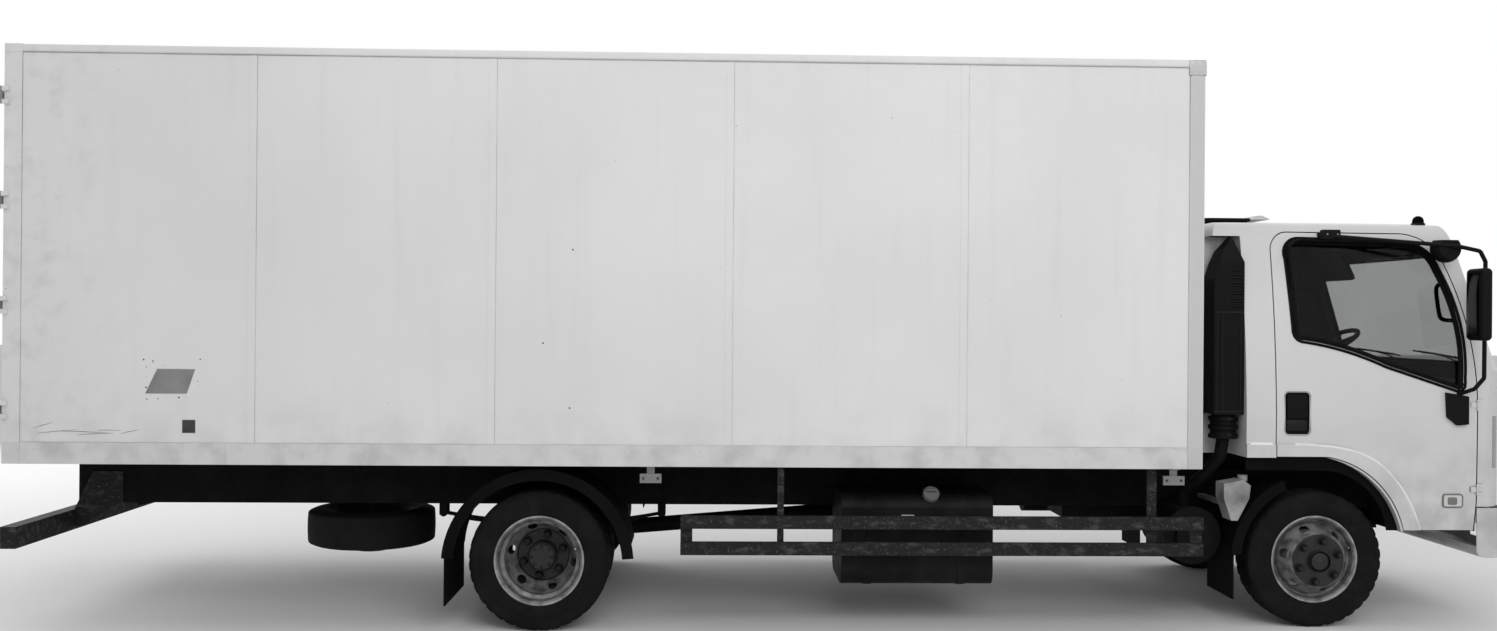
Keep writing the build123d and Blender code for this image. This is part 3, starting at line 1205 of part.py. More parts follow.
def wheel_parts():
    """Rims and tyres at their places, single in front and twin behind."""
    parts = {}
    front = front_wheel_metal()
    rear = rear_wheel_metal()
    ring_of_rubber = tyre()
    sides = (
        # side, name, turn of the wheel about its axle in degrees
        (1, "left", LEFT_TURN),
        (-1, "right", RIGHT_TURN),
    )
    for side, name, turn in sides:
        at_front = Pos(XF, side * FRONT_TRACK / 2, AXLE_Z) * Rot(-side * CAMBER, 0, 0) * Rot(0, turn, 0)
        at_rear = Pos(XR, side * REAR_TRACK / 2, AXLE_Z) * Rot(0, turn, 0)
        parts[f"rim_front_{name}"] = at_front * outboard(front, side)
        parts[f"tyre_front_{name}"] = at_front * ring_of_rubber
        parts[f"rims_rear_{name}"] = at_rear * outboard(rear, side)
        parts[f"tyres_rear_{name}"] = [at_rear * Pos(0, d * WHEEL_OFFSET, 0) * ring_of_rubber for d in (-1, 1)]
        parts[f"knuckle_{name}"] = knuckle(side)
        door = rear_door()
        parts[f"rear_door_{name}"] = door if side > 0 else mirror(door, Plane.XZ)
    return parts


def all_parts():
    rails = both_sides(chassis_rail())
    parts = {
        "chassis_frame": rails,
        "crossmembers": crossmembers(rails),
        "front_axle": front_axle() - kingpin_bores(),
        "rear_axle": rear_axle(),
        "leaf_springs": leaf_springs(),
        "propeller_shaft": propeller_shaft(),
        "engine_block": engine_block(),
        "exhaust": exhaust(),
        "fuel_tank": fuel_tank(),
        "battery_box": battery_box(),
        "air_cleaner": air_cleaner(),
        "coolant_bottle": coolant_bottle(),
        "side_guards": both_sides(side_guard()),
        "mudguards": mudguards(),
        "spare_wheel": spare_wheel(),
        "underrun_bar": underrun_bar(),
        "lamps": lamps(),
        "bumper": bumper(),
        "tie_rod": tie_rod(),
        "box_floor": box_floor(),
        "box_sides": box_sides(),
        "box_front_wall": box_front_wall(),
        "box_roof": box_roof(),
        "rear_portal": rear_portal(),
        "arch_liners": both_sides(arch_liner()),
        "intake_tower": intake_tower(),
        "steering_wheel": steering_wheel(),
        "seats": seats(),
    }
    parts.update(cab_parts())
    parts.update(wheel_parts())
    return parts


os.makedirs("parts", exist_ok=True)
for name, shape in all_parts().items():
    if isinstance(shape, list):
        shape = Compound(children=shape)
    export_step(shape, f"parts/{name}.step")
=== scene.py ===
import random
from math import acos, atan2, cos, hypot, pi, radians, sin, tan
import bmesh
import bpy
import numpy as np
from mathutils import Matrix, Vector
from mathutils.bvhtree import BVHTree


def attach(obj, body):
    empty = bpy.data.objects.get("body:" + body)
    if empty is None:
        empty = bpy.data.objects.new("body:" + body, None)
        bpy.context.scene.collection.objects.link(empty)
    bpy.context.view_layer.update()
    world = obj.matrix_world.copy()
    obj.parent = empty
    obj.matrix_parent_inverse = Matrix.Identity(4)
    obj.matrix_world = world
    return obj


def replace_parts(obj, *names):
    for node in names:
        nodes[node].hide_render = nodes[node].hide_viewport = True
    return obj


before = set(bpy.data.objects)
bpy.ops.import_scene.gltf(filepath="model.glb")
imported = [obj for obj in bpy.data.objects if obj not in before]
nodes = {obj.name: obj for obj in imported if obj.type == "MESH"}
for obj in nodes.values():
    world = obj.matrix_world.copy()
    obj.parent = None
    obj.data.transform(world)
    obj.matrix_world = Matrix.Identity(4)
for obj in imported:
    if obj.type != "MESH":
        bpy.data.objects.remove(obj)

random.seed(11)
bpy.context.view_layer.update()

# Sizes in metres, in the CAD model's frame
XF = 2.910
XR = -1.265
AXLE_Z = 0.370
BX0 = -3.990
BX1 = 2.216
BOX_Y = 1.150
SKIN_Y = 1.147
BOX_LOW = 0.879
FLOOR = 0.990
BOX_TOP = 3.028
TOP_RAIL = 0.044
RIVET_LOW = 0.955
FRONT_Y = 0.840         # middle of a front wheel
REAR_Y = 0.825          # middle of a rear pair
TWIN = 0.127            # each tyre of the pair from its middle
WHEEL_FACE = 0.977      # mounting face of a front wheel's disc
STUD_CIRCLE = 0.111
CAMBER = 0.5
CAB_MIDDLE = (XF + 0.15, 0.0, 1.60)
SEAT_TOP = 1.310
OUT = (0, -1, 0)        # outward on the right side
SIDES = (("right", -1), ("left", 1))
WHEEL_TURN = {"right": 11, "left": -12}
FOCAL = 1342.15 / 1497  # focal length over the picture's width
SENSOR = 36.0


# Materials

class Shader:
    """A node material, written as short calls."""

    def __init__(self, name):
        self.material = bpy.data.materials.new(name)
        self.material.use_nodes = True
        self.tree = self.material.node_tree
        self.bsdf = self.tree.nodes["Principled BSDF"]
        self.place = self.add("ShaderNodeTexCoord").outputs["Object"]

    def add(self, kind, **settings):
        node = self.tree.nodes.new(kind)
        for key, value in settings.items():
            setattr(node, key, value)
        return node

    def link(self, value, socket):
        if isinstance(value, (int, float, tuple)):
            socket.default_value = value
        else:
            self.tree.links.new(value, socket)

    def noise(self, scale, detail=4.0, stretch=None):
        place = self.place
        if stretch:
            place = self.vector("MULTIPLY", place, stretch)
        node = self.add("ShaderNodeTexNoise")
        self.link(place, node.inputs["Vector"])
        node.inputs["Scale"].default_value = scale
        node.inputs["Detail"].default_value = detail
        return node.outputs["Fac"]

    def vector(self, operation, a, b=None):
        node = self.add("ShaderNodeVectorMath", operation=operation)
        self.link(a, node.inputs[0])
        if b is not None:
            self.link(b, node.inputs[1])
        return node.outputs["Value" if operation in ("LENGTH", "DOT_PRODUCT") else "Vector"]

    def math(self, operation, a, b=0.0):
        node = self.add("ShaderNodeMath", operation=operation)
        self.link(a, node.inputs[0])
        self.link(b, node.inputs[1])
        return node.outputs[0]

    def ramp(self, value, low, high, out_low=0.0, out_high=1.0):
        """Value mapped from low..high to out_low..out_high, held at the ends."""
        node = self.add("ShaderNodeMapRange", clamp=True, interpolation_type="SMOOTHSTEP")
        self.link(value, node.inputs["Value"])
        for key, number in zip(("From Min", "From Max", "To Min", "To Max"),
                               (low, high, out_low, out_high)):
            node.inputs[key].default_value = number
        return node.outputs["Result"]

    def cloud(self, scale, detail, *ends):
        """Noise, mapped as ramp does."""
        return self.ramp(self.noise(scale, detail), *ends)

    def bands(self, direction, scale):
        """Parallel waves across a direction."""
        node = self.add("ShaderNodeTexWave", wave_type="BANDS", bands_direction=direction)
        self.link(self.place, node.inputs["Vector"])
        node.inputs["Scale"].default_value = scale
        return node.outputs["Fac"]

    def times(self, a, b):
        return self.math("MULTIPLY", a, b)

    def mix(self, factor, a, b):
        node = self.add("ShaderNodeMix", data_type="RGBA")
        self.link(factor, node.inputs[0])
        for value, socket in ((a, node.inputs[6]), (b, node.inputs[7])):
            self.link(rgb(value), socket)
        return node.outputs[2]

    def axis(self, letter):
        node = self.add("ShaderNodeSeparateXYZ")
        self.link(self.place, node.inputs[0])
        return node.outputs[letter]

    def side(self):
        """Distance from the truck's middle plane."""
        return self.math("ABSOLUTE", self.axis("Y"))

    def colour(self, value):
        self.link(rgb(value), self.bsdf.inputs["Base Color"])

    def rough(self, value):
        self.link(value, self.bsdf.inputs["Roughness"])

    def bump(self, height, strength=0.2, distance=0.002):
        node = self.add("ShaderNodeBump")
        node.inputs["Strength"].default_value = strength
        node.inputs["Distance"].default_value = distance
        self.link(height, node.inputs["Height"])
        self.link(node.outputs[0], self.bsdf.inputs["Normal"])

    def set(self, **sockets):
        for key, value in sockets.items():
            self.bsdf.inputs[key.replace("_", " ")].default_value = value


def rgb(value):
    """A grey or a colour with its alpha. A socket stays as it is."""
    if isinstance(value, float):
        return (value, value, value, 1.0)
    return value + (1.0,) if isinstance(value, tuple) and len(value) == 3 else value


def plain(name, base, rough, grain, vary, bump, gloss=0.5, dust=0.0, dust_tone=0.0, metallic=0.0):
    """Paint, plastic or metal: a tone that varies, fine bump, and dust that lies low on the truck."""
    s = Shader(name)
    colour = s.mix(s.cloud(3.2, 6, 0.3, 0.7), base * (1 - vary), min(1.0, base * (1 + vary)))
    if dust:
        amount = s.times(s.ramp(s.axis("Z"), 0.25, 1.6, 1.0, 0.15), s.cloud(7.0, 8, 0.42, 0.78))
        colour = s.mix(s.times(amount, dust), colour, dust_tone)
    s.colour(colour)
    s.rough(s.cloud(grain * 0.4, 5, 0.25, 0.75, max(0.05, rough - 0.08), min(1.0, rough + 0.1)))
    s.set(Metallic=metallic, Specular_IOR_Level=gloss)
    if bump:
        s.bump(s.noise(grain, 3), bump, 0.0015)
    return s.material


def box_paint():
    """White coated panels: mottling, orange peel, rain streaks, grime along the skirt and the rear."""
    s = Shader("box_paint")
    base = s.mix(s.cloud(0.9, 6, 0.3, 0.7), 0.655, 0.70)
    streak = s.ramp(s.noise(2.2, 6, (6.0, 6.0, 0.35)), 0.50, 0.80, 0.0, 0.12)
    base = s.mix(streak, base, 0.42)
    low = s.ramp(s.axis("Z"), 0.88, 1.35, 0.20, 0.0)
    grime = s.times(low, s.cloud(5.0, 8, 0.35, 0.70))
    base = s.mix(grime, base, 0.20)
    rear = s.times(s.ramp(s.axis("X"), -3.99, -3.2, 0.25, 0.0), s.cloud(11.0, 8, 0.45, 0.8))
    base = s.mix(rear, base, 0.25)
    outer = s.ramp(s.side(), BOX_Y - 0.0022, BOX_Y - 0.0008)
    post = s.times(outer, s.ramp(s.axis("X"), BX1 - 0.087, BX1 - 0.085, 0.0, 0.75))
    base = s.mix(post, base, 0.46)
    skirt = s.times(outer, s.ramp(s.axis("Z"), FLOOR - 0.001, FLOOR + 0.001, 0.35, 0.0))
    base = s.mix(skirt, base, 0.44)
    gear = s.ramp(s.axis("X"), BX0 - 0.004, BX0 - 0.002, 1.0, 0.0)
    base = s.mix(gear, base, s.mix(s.noise(24.0, 5), 0.24, 0.36))
    speck = s.cloud(42.0, 2, 0.765, 0.79, 0.0, 0.5)
    s.colour(s.mix(speck, base, 0.16))
    s.rough(s.cloud(14.0, 4, 0.3, 0.7, 0.42, 0.55))
    s.bump(s.noise(320.0, 2), 0.06, 0.001)
    return s.material


def cab_paint(name, trimmed_with_gap_shade=False):
    """White enamel with road film low down. The cab's own shell is near black where it faces inward: its
    dark inner trim, and painted shade on the door jambs, white on the truck, so that the door gaps read
    dark.
    """
    s = Shader(name)
    base = s.mix(s.cloud(1.3, 5, 0.3, 0.7), 0.57, 0.61)
    low = s.ramp(s.axis("Z"), 0.50, 1.25, 0.45, 0.0)
    grime = s.times(low, s.cloud(6.0, 8, 0.30, 0.70))
    base = s.mix(grime, base, 0.20)
    film = s.cloud(9.0, 8, 0.55, 0.85, 0.0, 0.10)
    base = s.mix(film, base, 0.35)
    rough = s.cloud(16.0, 4, 0.3, 0.7, 0.28, 0.42)
    if trimmed_with_gap_shade:
        # Inward faces near black: inner trim, and painted shade on the white door jambs so that the gaps
        # read dark
        normal = s.add("ShaderNodeTexCoord").outputs["Normal"]
        to_middle = s.vector("NORMALIZE", s.vector("SUBTRACT", CAB_MIDDLE, s.place))
        inward_trim_and_gap_shade = s.ramp(s.vector("DOT_PRODUCT", normal, to_middle), 0.02, 0.15)
        base = s.mix(inward_trim_and_gap_shade, base, 0.012)
        rough = s.math("MAXIMUM", rough, s.times(inward_trim_and_gap_shade, 0.85))
        gloss = s.math("SUBTRACT", 0.5, s.times(inward_trim_and_gap_shade, 0.45))
        s.link(gloss, s.bsdf.inputs["Specular IOR Level"])
    s.colour(base)
    s.rough(rough)
    s.bump(s.noise(260.0, 2), 0.05, 0.0008)
    s.set(Coat_Weight=0.15, Coat_Roughness=0.15)
    return s.material


def rim_paint(name, x):
    """Grey wheel paint: bright worn flange and dish, and a near-black middle round the hub's face."""
    s = Shader(name)
    flat = s.vector("MULTIPLY", s.vector("SUBTRACT", s.place, (x, 0.0, AXLE_Z)), (1.0, 0.0, 1.0))
    radius = s.vector("LENGTH", flat)
    dirt = s.cloud(18.0, 8, 0.35, 0.75)
    dish = s.mix(dirt, 0.20, 0.05)
    flange = s.mix(dirt, 0.34, 0.14)
    centre = s.mix(dirt, 0.016, 0.007)
    colour = s.mix(s.ramp(radius, 0.137, 0.145), centre, dish)
    colour = s.mix(s.ramp(radius, 0.222, 0.228), colour, flange)
    s.colour(colour)
    s.rough(s.cloud(60.0, 4, 0.3, 0.7, 0.42, 0.62))
    s.set(Metallic=0.35)
    s.bump(s.noise(240.0, 3), 0.12, 0.0008)
    return s.material


def rubber(name, tone=0.008, dust=0.30):
    """Matt rubber, dusty in patches."""
    s = Shader(name)
    patch = s.cloud(9.0, 8, 0.40, 0.75, 0.0, dust)
    s.colour(s.mix(patch, (tone, tone, tone), (0.024, 0.023, 0.022)))
    s.rough(s.cloud(40.0, 4, 0.3, 0.7, 0.72, 0.92))
    s.set(Specular_IOR_Level=0.07)
    s.bump(s.noise(420.0, 3), 0.15, 0.0006)
    return s.material


def spare_skin():
    """Spare wheel: rubber outside, dull rim inside, told apart by the distance from its middle."""
    s = Shader("spare_skin")
    flat = s.vector("MULTIPLY", s.vector("SUBTRACT", s.place, (XF - 5.300, 0.0, 0.0)), (1.0, 1.0, 0.0))
    radius = s.vector("LENGTH", flat)
    rim = s.mix(s.noise(9.0, 6), 0.02, 0.06)
    tyre = s.mix(s.noise(9.0, 6), 0.005, 0.018)
    s.colour(s.mix(s.ramp(radius, 0.236, 0.238), rim, tyre))
    s.rough(0.8)
    s.set(Specular_IOR_Level=0.15)
    s.bump(s.noise(200.0, 3), 0.15, 0.001)
    return s.material


def glass(name, tint=0.50, rough=0.01):
    """Window glass with a thin film of dust."""
    s = Shader(name)
    film = s.cloud(5.0, 7, 0.45, 0.8, rough, rough + 0.05)
    s.colour((tint, tint * 1.02, tint * 1.01))
    s.rough(film)
    s.set(Transmission_Weight=1.0, IOR=1.2)
    return s.material


def lens(name, tone, rough=0.12):
    """Moulded lamp lens with fine vertical flutes."""
    s = Shader(name)
    s.colour(s.mix(s.noise(12.0, 4), tone, tuple(c * 0.8 for c in tone)))
    s.rough(s.cloud(30.0, 4, 0.3, 0.7, rough, rough + 0.1))
    s.set(Coat_Weight=0.6, Coat_Roughness=0.05)
    s.bump(s.bands("Y", 55.0), 0.35, 0.001)
    return s.material


def headlamp_skin():
    """Headlamps with two bright bowls on a smoky ground, and grey lenses at the cab's corners."""
    s = Shader("headlamp_skin")
    side = s.side()
    across = s.math("SUBTRACT", s.math("ABSOLUTE", s.math("SUBTRACT", side, 0.733)), 0.070)
    up = s.math("SUBTRACT", s.axis("Z"), 0.779)
    radius = s.math("SQRT", s.math("ADD", s.times(across, across), s.times(up, up)))
    tone = s.mix(s.ramp(radius, 0.058, 0.061, 1.0, 0.0), 0.05, 0.42)
    tone = s.mix(s.ramp(radius, 0.019, 0.022, 1.0, 0.0), tone, 0.75)
    tone = s.mix(s.ramp(side, 0.884, 0.886), tone, s.mix(s.noise(20.0, 4), 0.34, 0.22))
    s.colour(tone)
    s.rough(0.15)
    s.set(Coat_Weight=0.5, Coat_Roughness=0.05)
    s.bump(s.bands("Y", 40.0), 0.25, 0.001)
    return s.material


def lamp_skin():
    """Lamps of the body: red lenses at the rear, clear grey markers on the sides."""
    s = Shader("lamp_skin")
    at_rear = s.ramp(s.axis("X"), -3.85, -3.80, 1.0, 0.0)
    side = s.side()
    amber = s.times(s.ramp(side, 0.915, 0.917), at_rear)
    tone = s.mix(at_rear, s.mix(s.noise(30.0, 5), 0.22, 0.12), (0.32, 0.012, 0.010))
    s.colour(s.mix(amber, tone, (0.50, 0.15, 0.02)))
    s.rough(0.2)
    s.set(Coat_Weight=0.5, Coat_Roughness=0.08)
    s.bump(s.noise(160.0, 2), 0.2, 0.001)
    return s.material


def fabric(name, tone):
    """Woven seat cloth: crossed threads, darker where it is worn, soft sheen."""
    s = Shader(name)
    weave = s.times(s.bands("X", 160.0), s.bands("Y", 160.0))
    worn = s.cloud(6.0, 7, 0.35, 0.75)
    colour = s.mix(worn, tone, tuple(c * 1.5 for c in tone))
    s.colour(s.mix(s.times(weave, 0.35), colour, tuple(c * 0.6 for c in tone)))
    s.rough(0.9)
    s.set(Sheen_Weight=0.25, Sheen_Roughness=0.5)
    s.bump(weave, 0.3, 0.0008)
    return s.material


def planks():
    """Plank floor inside, painted rails at the edges, dull steel below."""
    s = Shader("floor_planks")
    row = s.math("FRACT", s.times(s.axis("Y"), 8.0))
    joint = s.ramp(s.math("ABSOLUTE", s.math("SUBTRACT", row, 0.5)), 0.485, 0.497)
    grain = s.noise(3.0, 8, (1.0, 22.0, 22.0))
    wood = s.mix(grain, (0.16, 0.11, 0.07), (0.30, 0.22, 0.14))
    inside = s.ramp(s.axis("Z"), 0.985, 0.989)
    deck = s.mix(joint, wood, (0.03, 0.025, 0.02))
    side = s.side()
    edge = s.ramp(side, 1.118, 1.121)
    rail = s.mix(s.cloud(6.0, 8, 0.4, 0.75), 0.60, 0.44)
    under = s.mix(s.noise(4.0, 6), 0.020, 0.045)
    s.colour(s.mix(edge, s.mix(inside, under, deck), rail))
    s.rough(s.ramp(grain, 0.3, 0.7, 0.5, 0.8))
    s.bump(grain, 0.15, 0.001)
    return s.material


def crease_painted_highlight():
    """Painted highlight: the cab's enamel made lighter along the pressed edge over the front arch,
    standing in for the light that edge catches.
    """
    s = Shader("crease_painted_highlight")
    # Lighter than the cab's paint (0.57 to 0.61): a painted highlight
    s.colour(s.mix(s.cloud(3.0, 5, 0.3, 0.7), 0.76, 0.82))
    s.rough(0.3)
    s.bump(s.noise(260.0, 2), 0.05, 0.0008)
    return s.material


def guard_paint():
    """Dark paint on the side guards and the underrun bar, rubbed through in patches and scratches."""
    s = Shader("worn_guard_paint")
    worn = s.ramp(s.noise(26.0, 8, (0.5, 1.0, 1.0)), 0.50, 0.72)
    chip = s.cloud(90.0, 4, 0.60, 0.68)
    colour = s.mix(worn, 0.014, 0.055)
    s.colour(s.mix(s.times(chip, 0.6), colour, 0.10))
    s.rough(0.65)
    s.set(Specular_IOR_Level=0.12)
    s.bump(s.noise(60.0, 4), 0.25, 0.001)
    return s.material


MAT = {
    "box": box_paint(),
    "cab": cab_paint("cab_paint", trimmed_with_gap_shade=True),
    "panel": cab_paint("panel_paint"),
    "rim_front": rim_paint("rim_front_paint", XF),
    "rim_rear": rim_paint("rim_rear_paint", XR),
    "rubber": rubber("tyre_rubber"),
    "seal": rubber("seal_rubber", 0.005, 0.06),
    "spare": spare_skin(),
    "glass": glass("window_glass"),
    "lamp": lens("lamp_lens", (0.62, 0.62, 0.60)),
    "smoke": lens("smoked_lens", (0.16, 0.15, 0.14)),
    "body_lamps": lamp_skin(),
    "headlamp": headlamp_skin(),
    "fabric": fabric("seat_cloth", (0.050, 0.050, 0.054)),
    "planks": planks(),
    "guard": guard_paint(),
    "crease": crease_painted_highlight(),
}
PLAIN = (
    # key, name, tone, roughness, grain, spread of the tone, bump, gloss, dust, tone of the dust, metallic
    ("black_steel", "black_steel", 0.004, 0.65, 90.0, 0.3, 0.25, 0.08, 0.5, 0.014),
    ("cast", "oily_casting", 0.006, 0.6, 120.0, 0.35, 0.5, 0.10, 0.5, 0.016),
    ("tank", "tank_steel", 0.006, 0.55, 30.0, 0.4, 0.3, 0.10, 0.6, 0.018),
    ("moulded", "black_moulding", 0.0035, 0.6, 420.0, 0.2, 0.25, 0.10, 0.35, 0.010),
    ("handle", "handle_moulding", 0.010, 0.5, 420.0, 0.2, 0.2, 0.15),
    ("liner", "liner_moulding", 0.004, 0.85, 300.0, 0.2, 0.25, 0.06, 0.3, 0.010),
    ("interior", "interior_grey", 0.020, 0.7, 500.0, 0.12, 0.35, 0.1),
    # The headliner's tone is painted shade: grey felt darkened to near black like the cab's shaded inside
    ("headliner", "headliner_felt", 0.030, 0.95, 700.0, 0.08, 0.3, 0.05),
    ("dash", "dash_moulding", 0.006, 0.7, 600.0, 0.1, 0.4, 0.08),
    ("joint", "joint_sealant", 0.40, 0.7, 90.0, 0.3, 0.2),
    # Black of the roof lamps, and painted shade for the grille's slots
    ("hollow", "dark_hollow", 0.003, 0.9, 60.0, 0.2, 0.1, 0.02),
    ("buckle", "buckle_plastic", 0.02, 0.4, 200.0, 0.1, 0.1, 0.4),
    ("webbing", "seat_webbing", 0.012, 0.9, 900.0, 0.2, 0.5, 0.1),
    ("bottle", "bottle_plastic", 0.32, 0.5, 28.0, 0.35, 0.3, 0.3, 1.0, 0.08),
    ("zinc", "zinc_metal", 0.36, 0.38, 150.0, 0.2, 0.2, 0.5, 0.0, 0.0, 0.9),
    ("patch", "patch_grey", 0.20, 0.8, 70.0, 0.35, 0.4),
    ("smudge", "smudge_dark", 0.045, 0.9, 80.0, 0.5, 0.3),
    ("mirror", "mirror_silver", 0.035, 0.06, 20.0, 0.02, 0.0, 0.5, 0.0, 0.0, 1.0),
    ("cap", "cap_alloy", 0.14, 0.55, 60.0, 0.25, 0.3, 0.2, 0.6, 0.05),
    ("label", "blank_label", 0.42, 0.6, 50.0, 0.2, 0.1),
)
for key, *finish in PLAIN:
    MAT[key] = plain(*finish)

NODE_MAT = {
    "box": ("box_sides", "box_front_wall", "box_roof", "rear_portal", "rear_door_left", "rear_door_right"),
    "cab": ("cab_shell", "cab_door_left", "cab_door_right"),
    "panel": ("front_panel", "bumper"),
    "planks": ("box_floor",),
    "black_steel": ("chassis_frame", "crossmembers", "leaf_springs", "propeller_shaft", "tie_rod",
                    "exhaust"),
    "tank": ("fuel_tank",),
    "cast": ("front_axle", "rear_axle", "engine_block", "knuckle_left", "knuckle_right"),
    "guard": ("side_guards", "underrun_bar"),
    "moulded": ("battery_box", "air_cleaner", "intake_tower", "mirrors_left", "mirrors_right",
                "steering_wheel",
                "roof_hatch"),
    "liner": ("mudguards", "arch_liners"),
    "dash": ("dashboard",),
    "bottle": ("coolant_bottle",),
    "spare": ("spare_wheel",),
    "body_lamps": ("lamps",),
    "headlamp": ("cab_lamps",),
    "glass": ("cab_glass", "door_glass_left", "door_glass_right"),
    "fabric": ("seats",),
    "rim_front": ("rim_front_left", "rim_front_right"),
    "rim_rear": ("rims_rear_left", "rims_rear_right"),
    "rubber": ("tyre_front_left", "tyre_front_right", "tyres_rear_left", "tyres_rear_right"),
}
for key, names in NODE_MAT.items():
    for name in names:
        slots = nodes[name].data.materials
        slots.clear()
        slots.append(MAT[key])


# Shapes. A Build gathers points and faces of many small forms into one mesh in the row frame.

class Build:
    """Points and faces of many small forms."""

    def __init__(self):
        self.points = []
        self.faces = []

    def add(self, points, faces):
        base = len(self.points)
        self.points += [tuple(p) for p in points]
        self.faces += [tuple(base + i for i in face) for face in faces]
        return self

    def grid(self, rows, closed=False, capped=False):
        """Rows of points joined into quads.

        closed joins each row's ends, capped fills the first and the last row.
        """
        n = len(rows[0])
        faces = []
        for r in range(len(rows) - 1):
            for i in range(n if closed else n - 1):
                j = (i + 1) % n
                faces.append((r * n + i, r * n + j, (r + 1) * n + j, (r + 1) * n + i))
        if capped:
            faces += [tuple(range(n - 1, -1, -1)), tuple(range((len(rows) - 1) * n, len(rows) * n))]
        return self.add([p for row in rows for p in row], faces)

    def solid(self, rows):
        """Closed rows with both ends filled."""
        return self.grid(rows, closed=True, capped=True)

    def box(self, low, high, bevel=0.0):
        """A block with its corners taken off by bevel in every direction."""
        low, high = Vector(low), Vector(high)
        b = min([bevel] + [abs(high[i] - low[i]) * 0.45 for i in range(3)])
        if b <= 0:
            ring = ((low.x, low.y), (high.x, low.y), (high.x, high.y), (low.x, high.y))
            corners = [(x, y, z) for z in (low.z, high.z) for x, y in ring]
            sides = [(i, (i + 1) % 4, (i + 1) % 4 + 4, i + 4) for i in range(4)]
            return self.add(corners, [(3, 2, 1, 0), (4, 5, 6, 7)] + sides)
        rows = []
        for z, inset in ((low.z, b), (low.z + b, 0), (high.z - b, 0), (high.z, b)):
            x0, x1, y0, y1 = low.x + inset, high.x - inset, low.y + inset, high.y - inset
            c = b if inset == 0 else b * 0.5
            rows.append([(x0 + c, y0, z), (x1 - c, y0, z), (x1, y0 + c, z), (x1, y1 - c, z),
                         (x1 - c, y1, z), (x0 + c, y1, z), (x0, y1 - c, z), (x0, y0 + c, z)])
        return self.solid(rows)

    def spin(self, profile, at, axis, count=24, closed=False):
        """A profile of (radius, height) pairs turned about an axis through a point."""
        axis = Vector(axis).normalized()
        side = axis.orthogonal().normalized()
        other = axis.cross(side)
        at = Vector(at)
        rows = []
        for k in range(count + 1):
            angle = 2 * pi * k / count
            arm = side * cos(angle) + other * sin(angle)
            rows.append([at + arm * r + axis * h for r, h in profile])
        base = len(self.points)
        n = len(profile)
        self.points += [tuple(p) for row in rows[:-1] for p in row]
        for k in range(count):
            for i in range(n if closed else n - 1):
                j = (i + 1) % n
                a, b = k * n, ((k + 1) % count) * n
                self.faces.append((base + a + i, base + b + i, base + b + j, base + a + j))
        return self

    def tube(self, path, radius, count=10):
        """A round bar along a path of points."""
        path = [Vector(p) for p in path]
        n = len(path)
        rows = []
        last = None
        for i, p in enumerate(path):
            way = (path[min(i + 1, n - 1)] - path[max(i - 1, 0)]).normalized()
            side = way.orthogonal() if last is None else last - way * last.dot(way)
            side.normalize()
            last = side
            other = way.cross(side)
            r = radius[i] if isinstance(radius, (list, tuple)) else radius
            rows.append([p + (side * cos(a) + other * sin(a)) * r
                         for a in [2 * pi * k / count for k in range(count)]])
        return self.solid(rows)

    def dome(self, at, radius, height, count=8):
        """A rivet's head on the right side."""
        profile = [(0.0, height), (radius * 0.6, height * 0.8), (radius, 0.0), (radius, -0.001)]
        return self.spin(profile, at, OUT, count)

    def around(self, profile, x, y, s, circle, count, start, sides):
        """Like forms on a circle about a wheel's axle, on the side s."""
        for k in range(count):
            a = radians(start + 360 // count * k)
            at = (x + circle * cos(a), s * y, AXLE_Z + circle * sin(a))
            self.spin(profile, at, (0, s, 0), sides)
        return self

    def mirrored(self):
        """The same forms on the other side of the truck as well."""
        base = len(self.points)
        self.points += [(x, -y, z) for x, y, z in self.points[:base]]
        self.faces += [tuple(base + i for i in reversed(face)) for face in list(self.faces)]
        return self

    def flipped(self):
        """The forms moved to the other side of the truck."""
        other = Build()
        other.points = [(x, -y, z) for x, y, z in self.points]
        other.faces = [tuple(reversed(face)) for face in self.faces]
        return other

    def piece(self, name, material, body, slot, smooth=40):
        """Turn the forms into one object that rides on a body."""
        mesh = bpy.data.meshes.new(name)
        mesh.from_pydata(self.points, [], self.faces)
        mesh.materials.append(MAT[material])
        obj = bpy.data.objects.new(name, mesh)
        bpy.context.scene.collection.objects.link(obj)
        bm = bmesh.new()
        bm.from_mesh(mesh)
        bmesh.ops.remove_doubles(bm, verts=bm.verts, dist=1e-6)
        bmesh.ops.recalc_face_normals(bm, faces=bm.faces)
        for face in bm.faces:
            face.smooth = True
        for edge in bm.edges:
            if len(edge.link_faces) == 2 and edge.calc_face_angle(0) > radians(smooth):
                edge.smooth = False
        bm.to_mesh(mesh)
        bm.free()
        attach(obj, body)
        return obj


def arc(a, b, c, count=8):
    """Points on the circle through a, b and c, from a to c without c itself."""
    ax, ay, bx, by, cx, cy = *a, *b, *c
    d = 2 * (ax * (by - cy) + bx * (cy - ay) + cx * (ay - by))
    if abs(d) < 1e-12:
        return [a, b]
    aa, bb, cc = ax * ax + ay * ay, bx * bx + by * by, cx * cx + cy * cy
    ux = (aa * (by - cy) + bb * (cy - ay) + cc * (ay - by)) / d
    uy = (aa * (cx - bx) + bb * (ax - cx) + cc * (bx - ax)) / d
    r = hypot(ax - ux, ay - uy)
    t0, t1, t2 = (atan2(y - uy, x - ux) for x, y in (a, b, c))
    turn = (t2 - t0) % (2 * pi)
    if (t1 - t0) % (2 * pi) > turn:
        turn -= 2 * pi
    angles = [t0 + turn * k / count for k in range(count)]
    return [(ux + r * cos(t), uy + r * sin(t)) for t in angles]


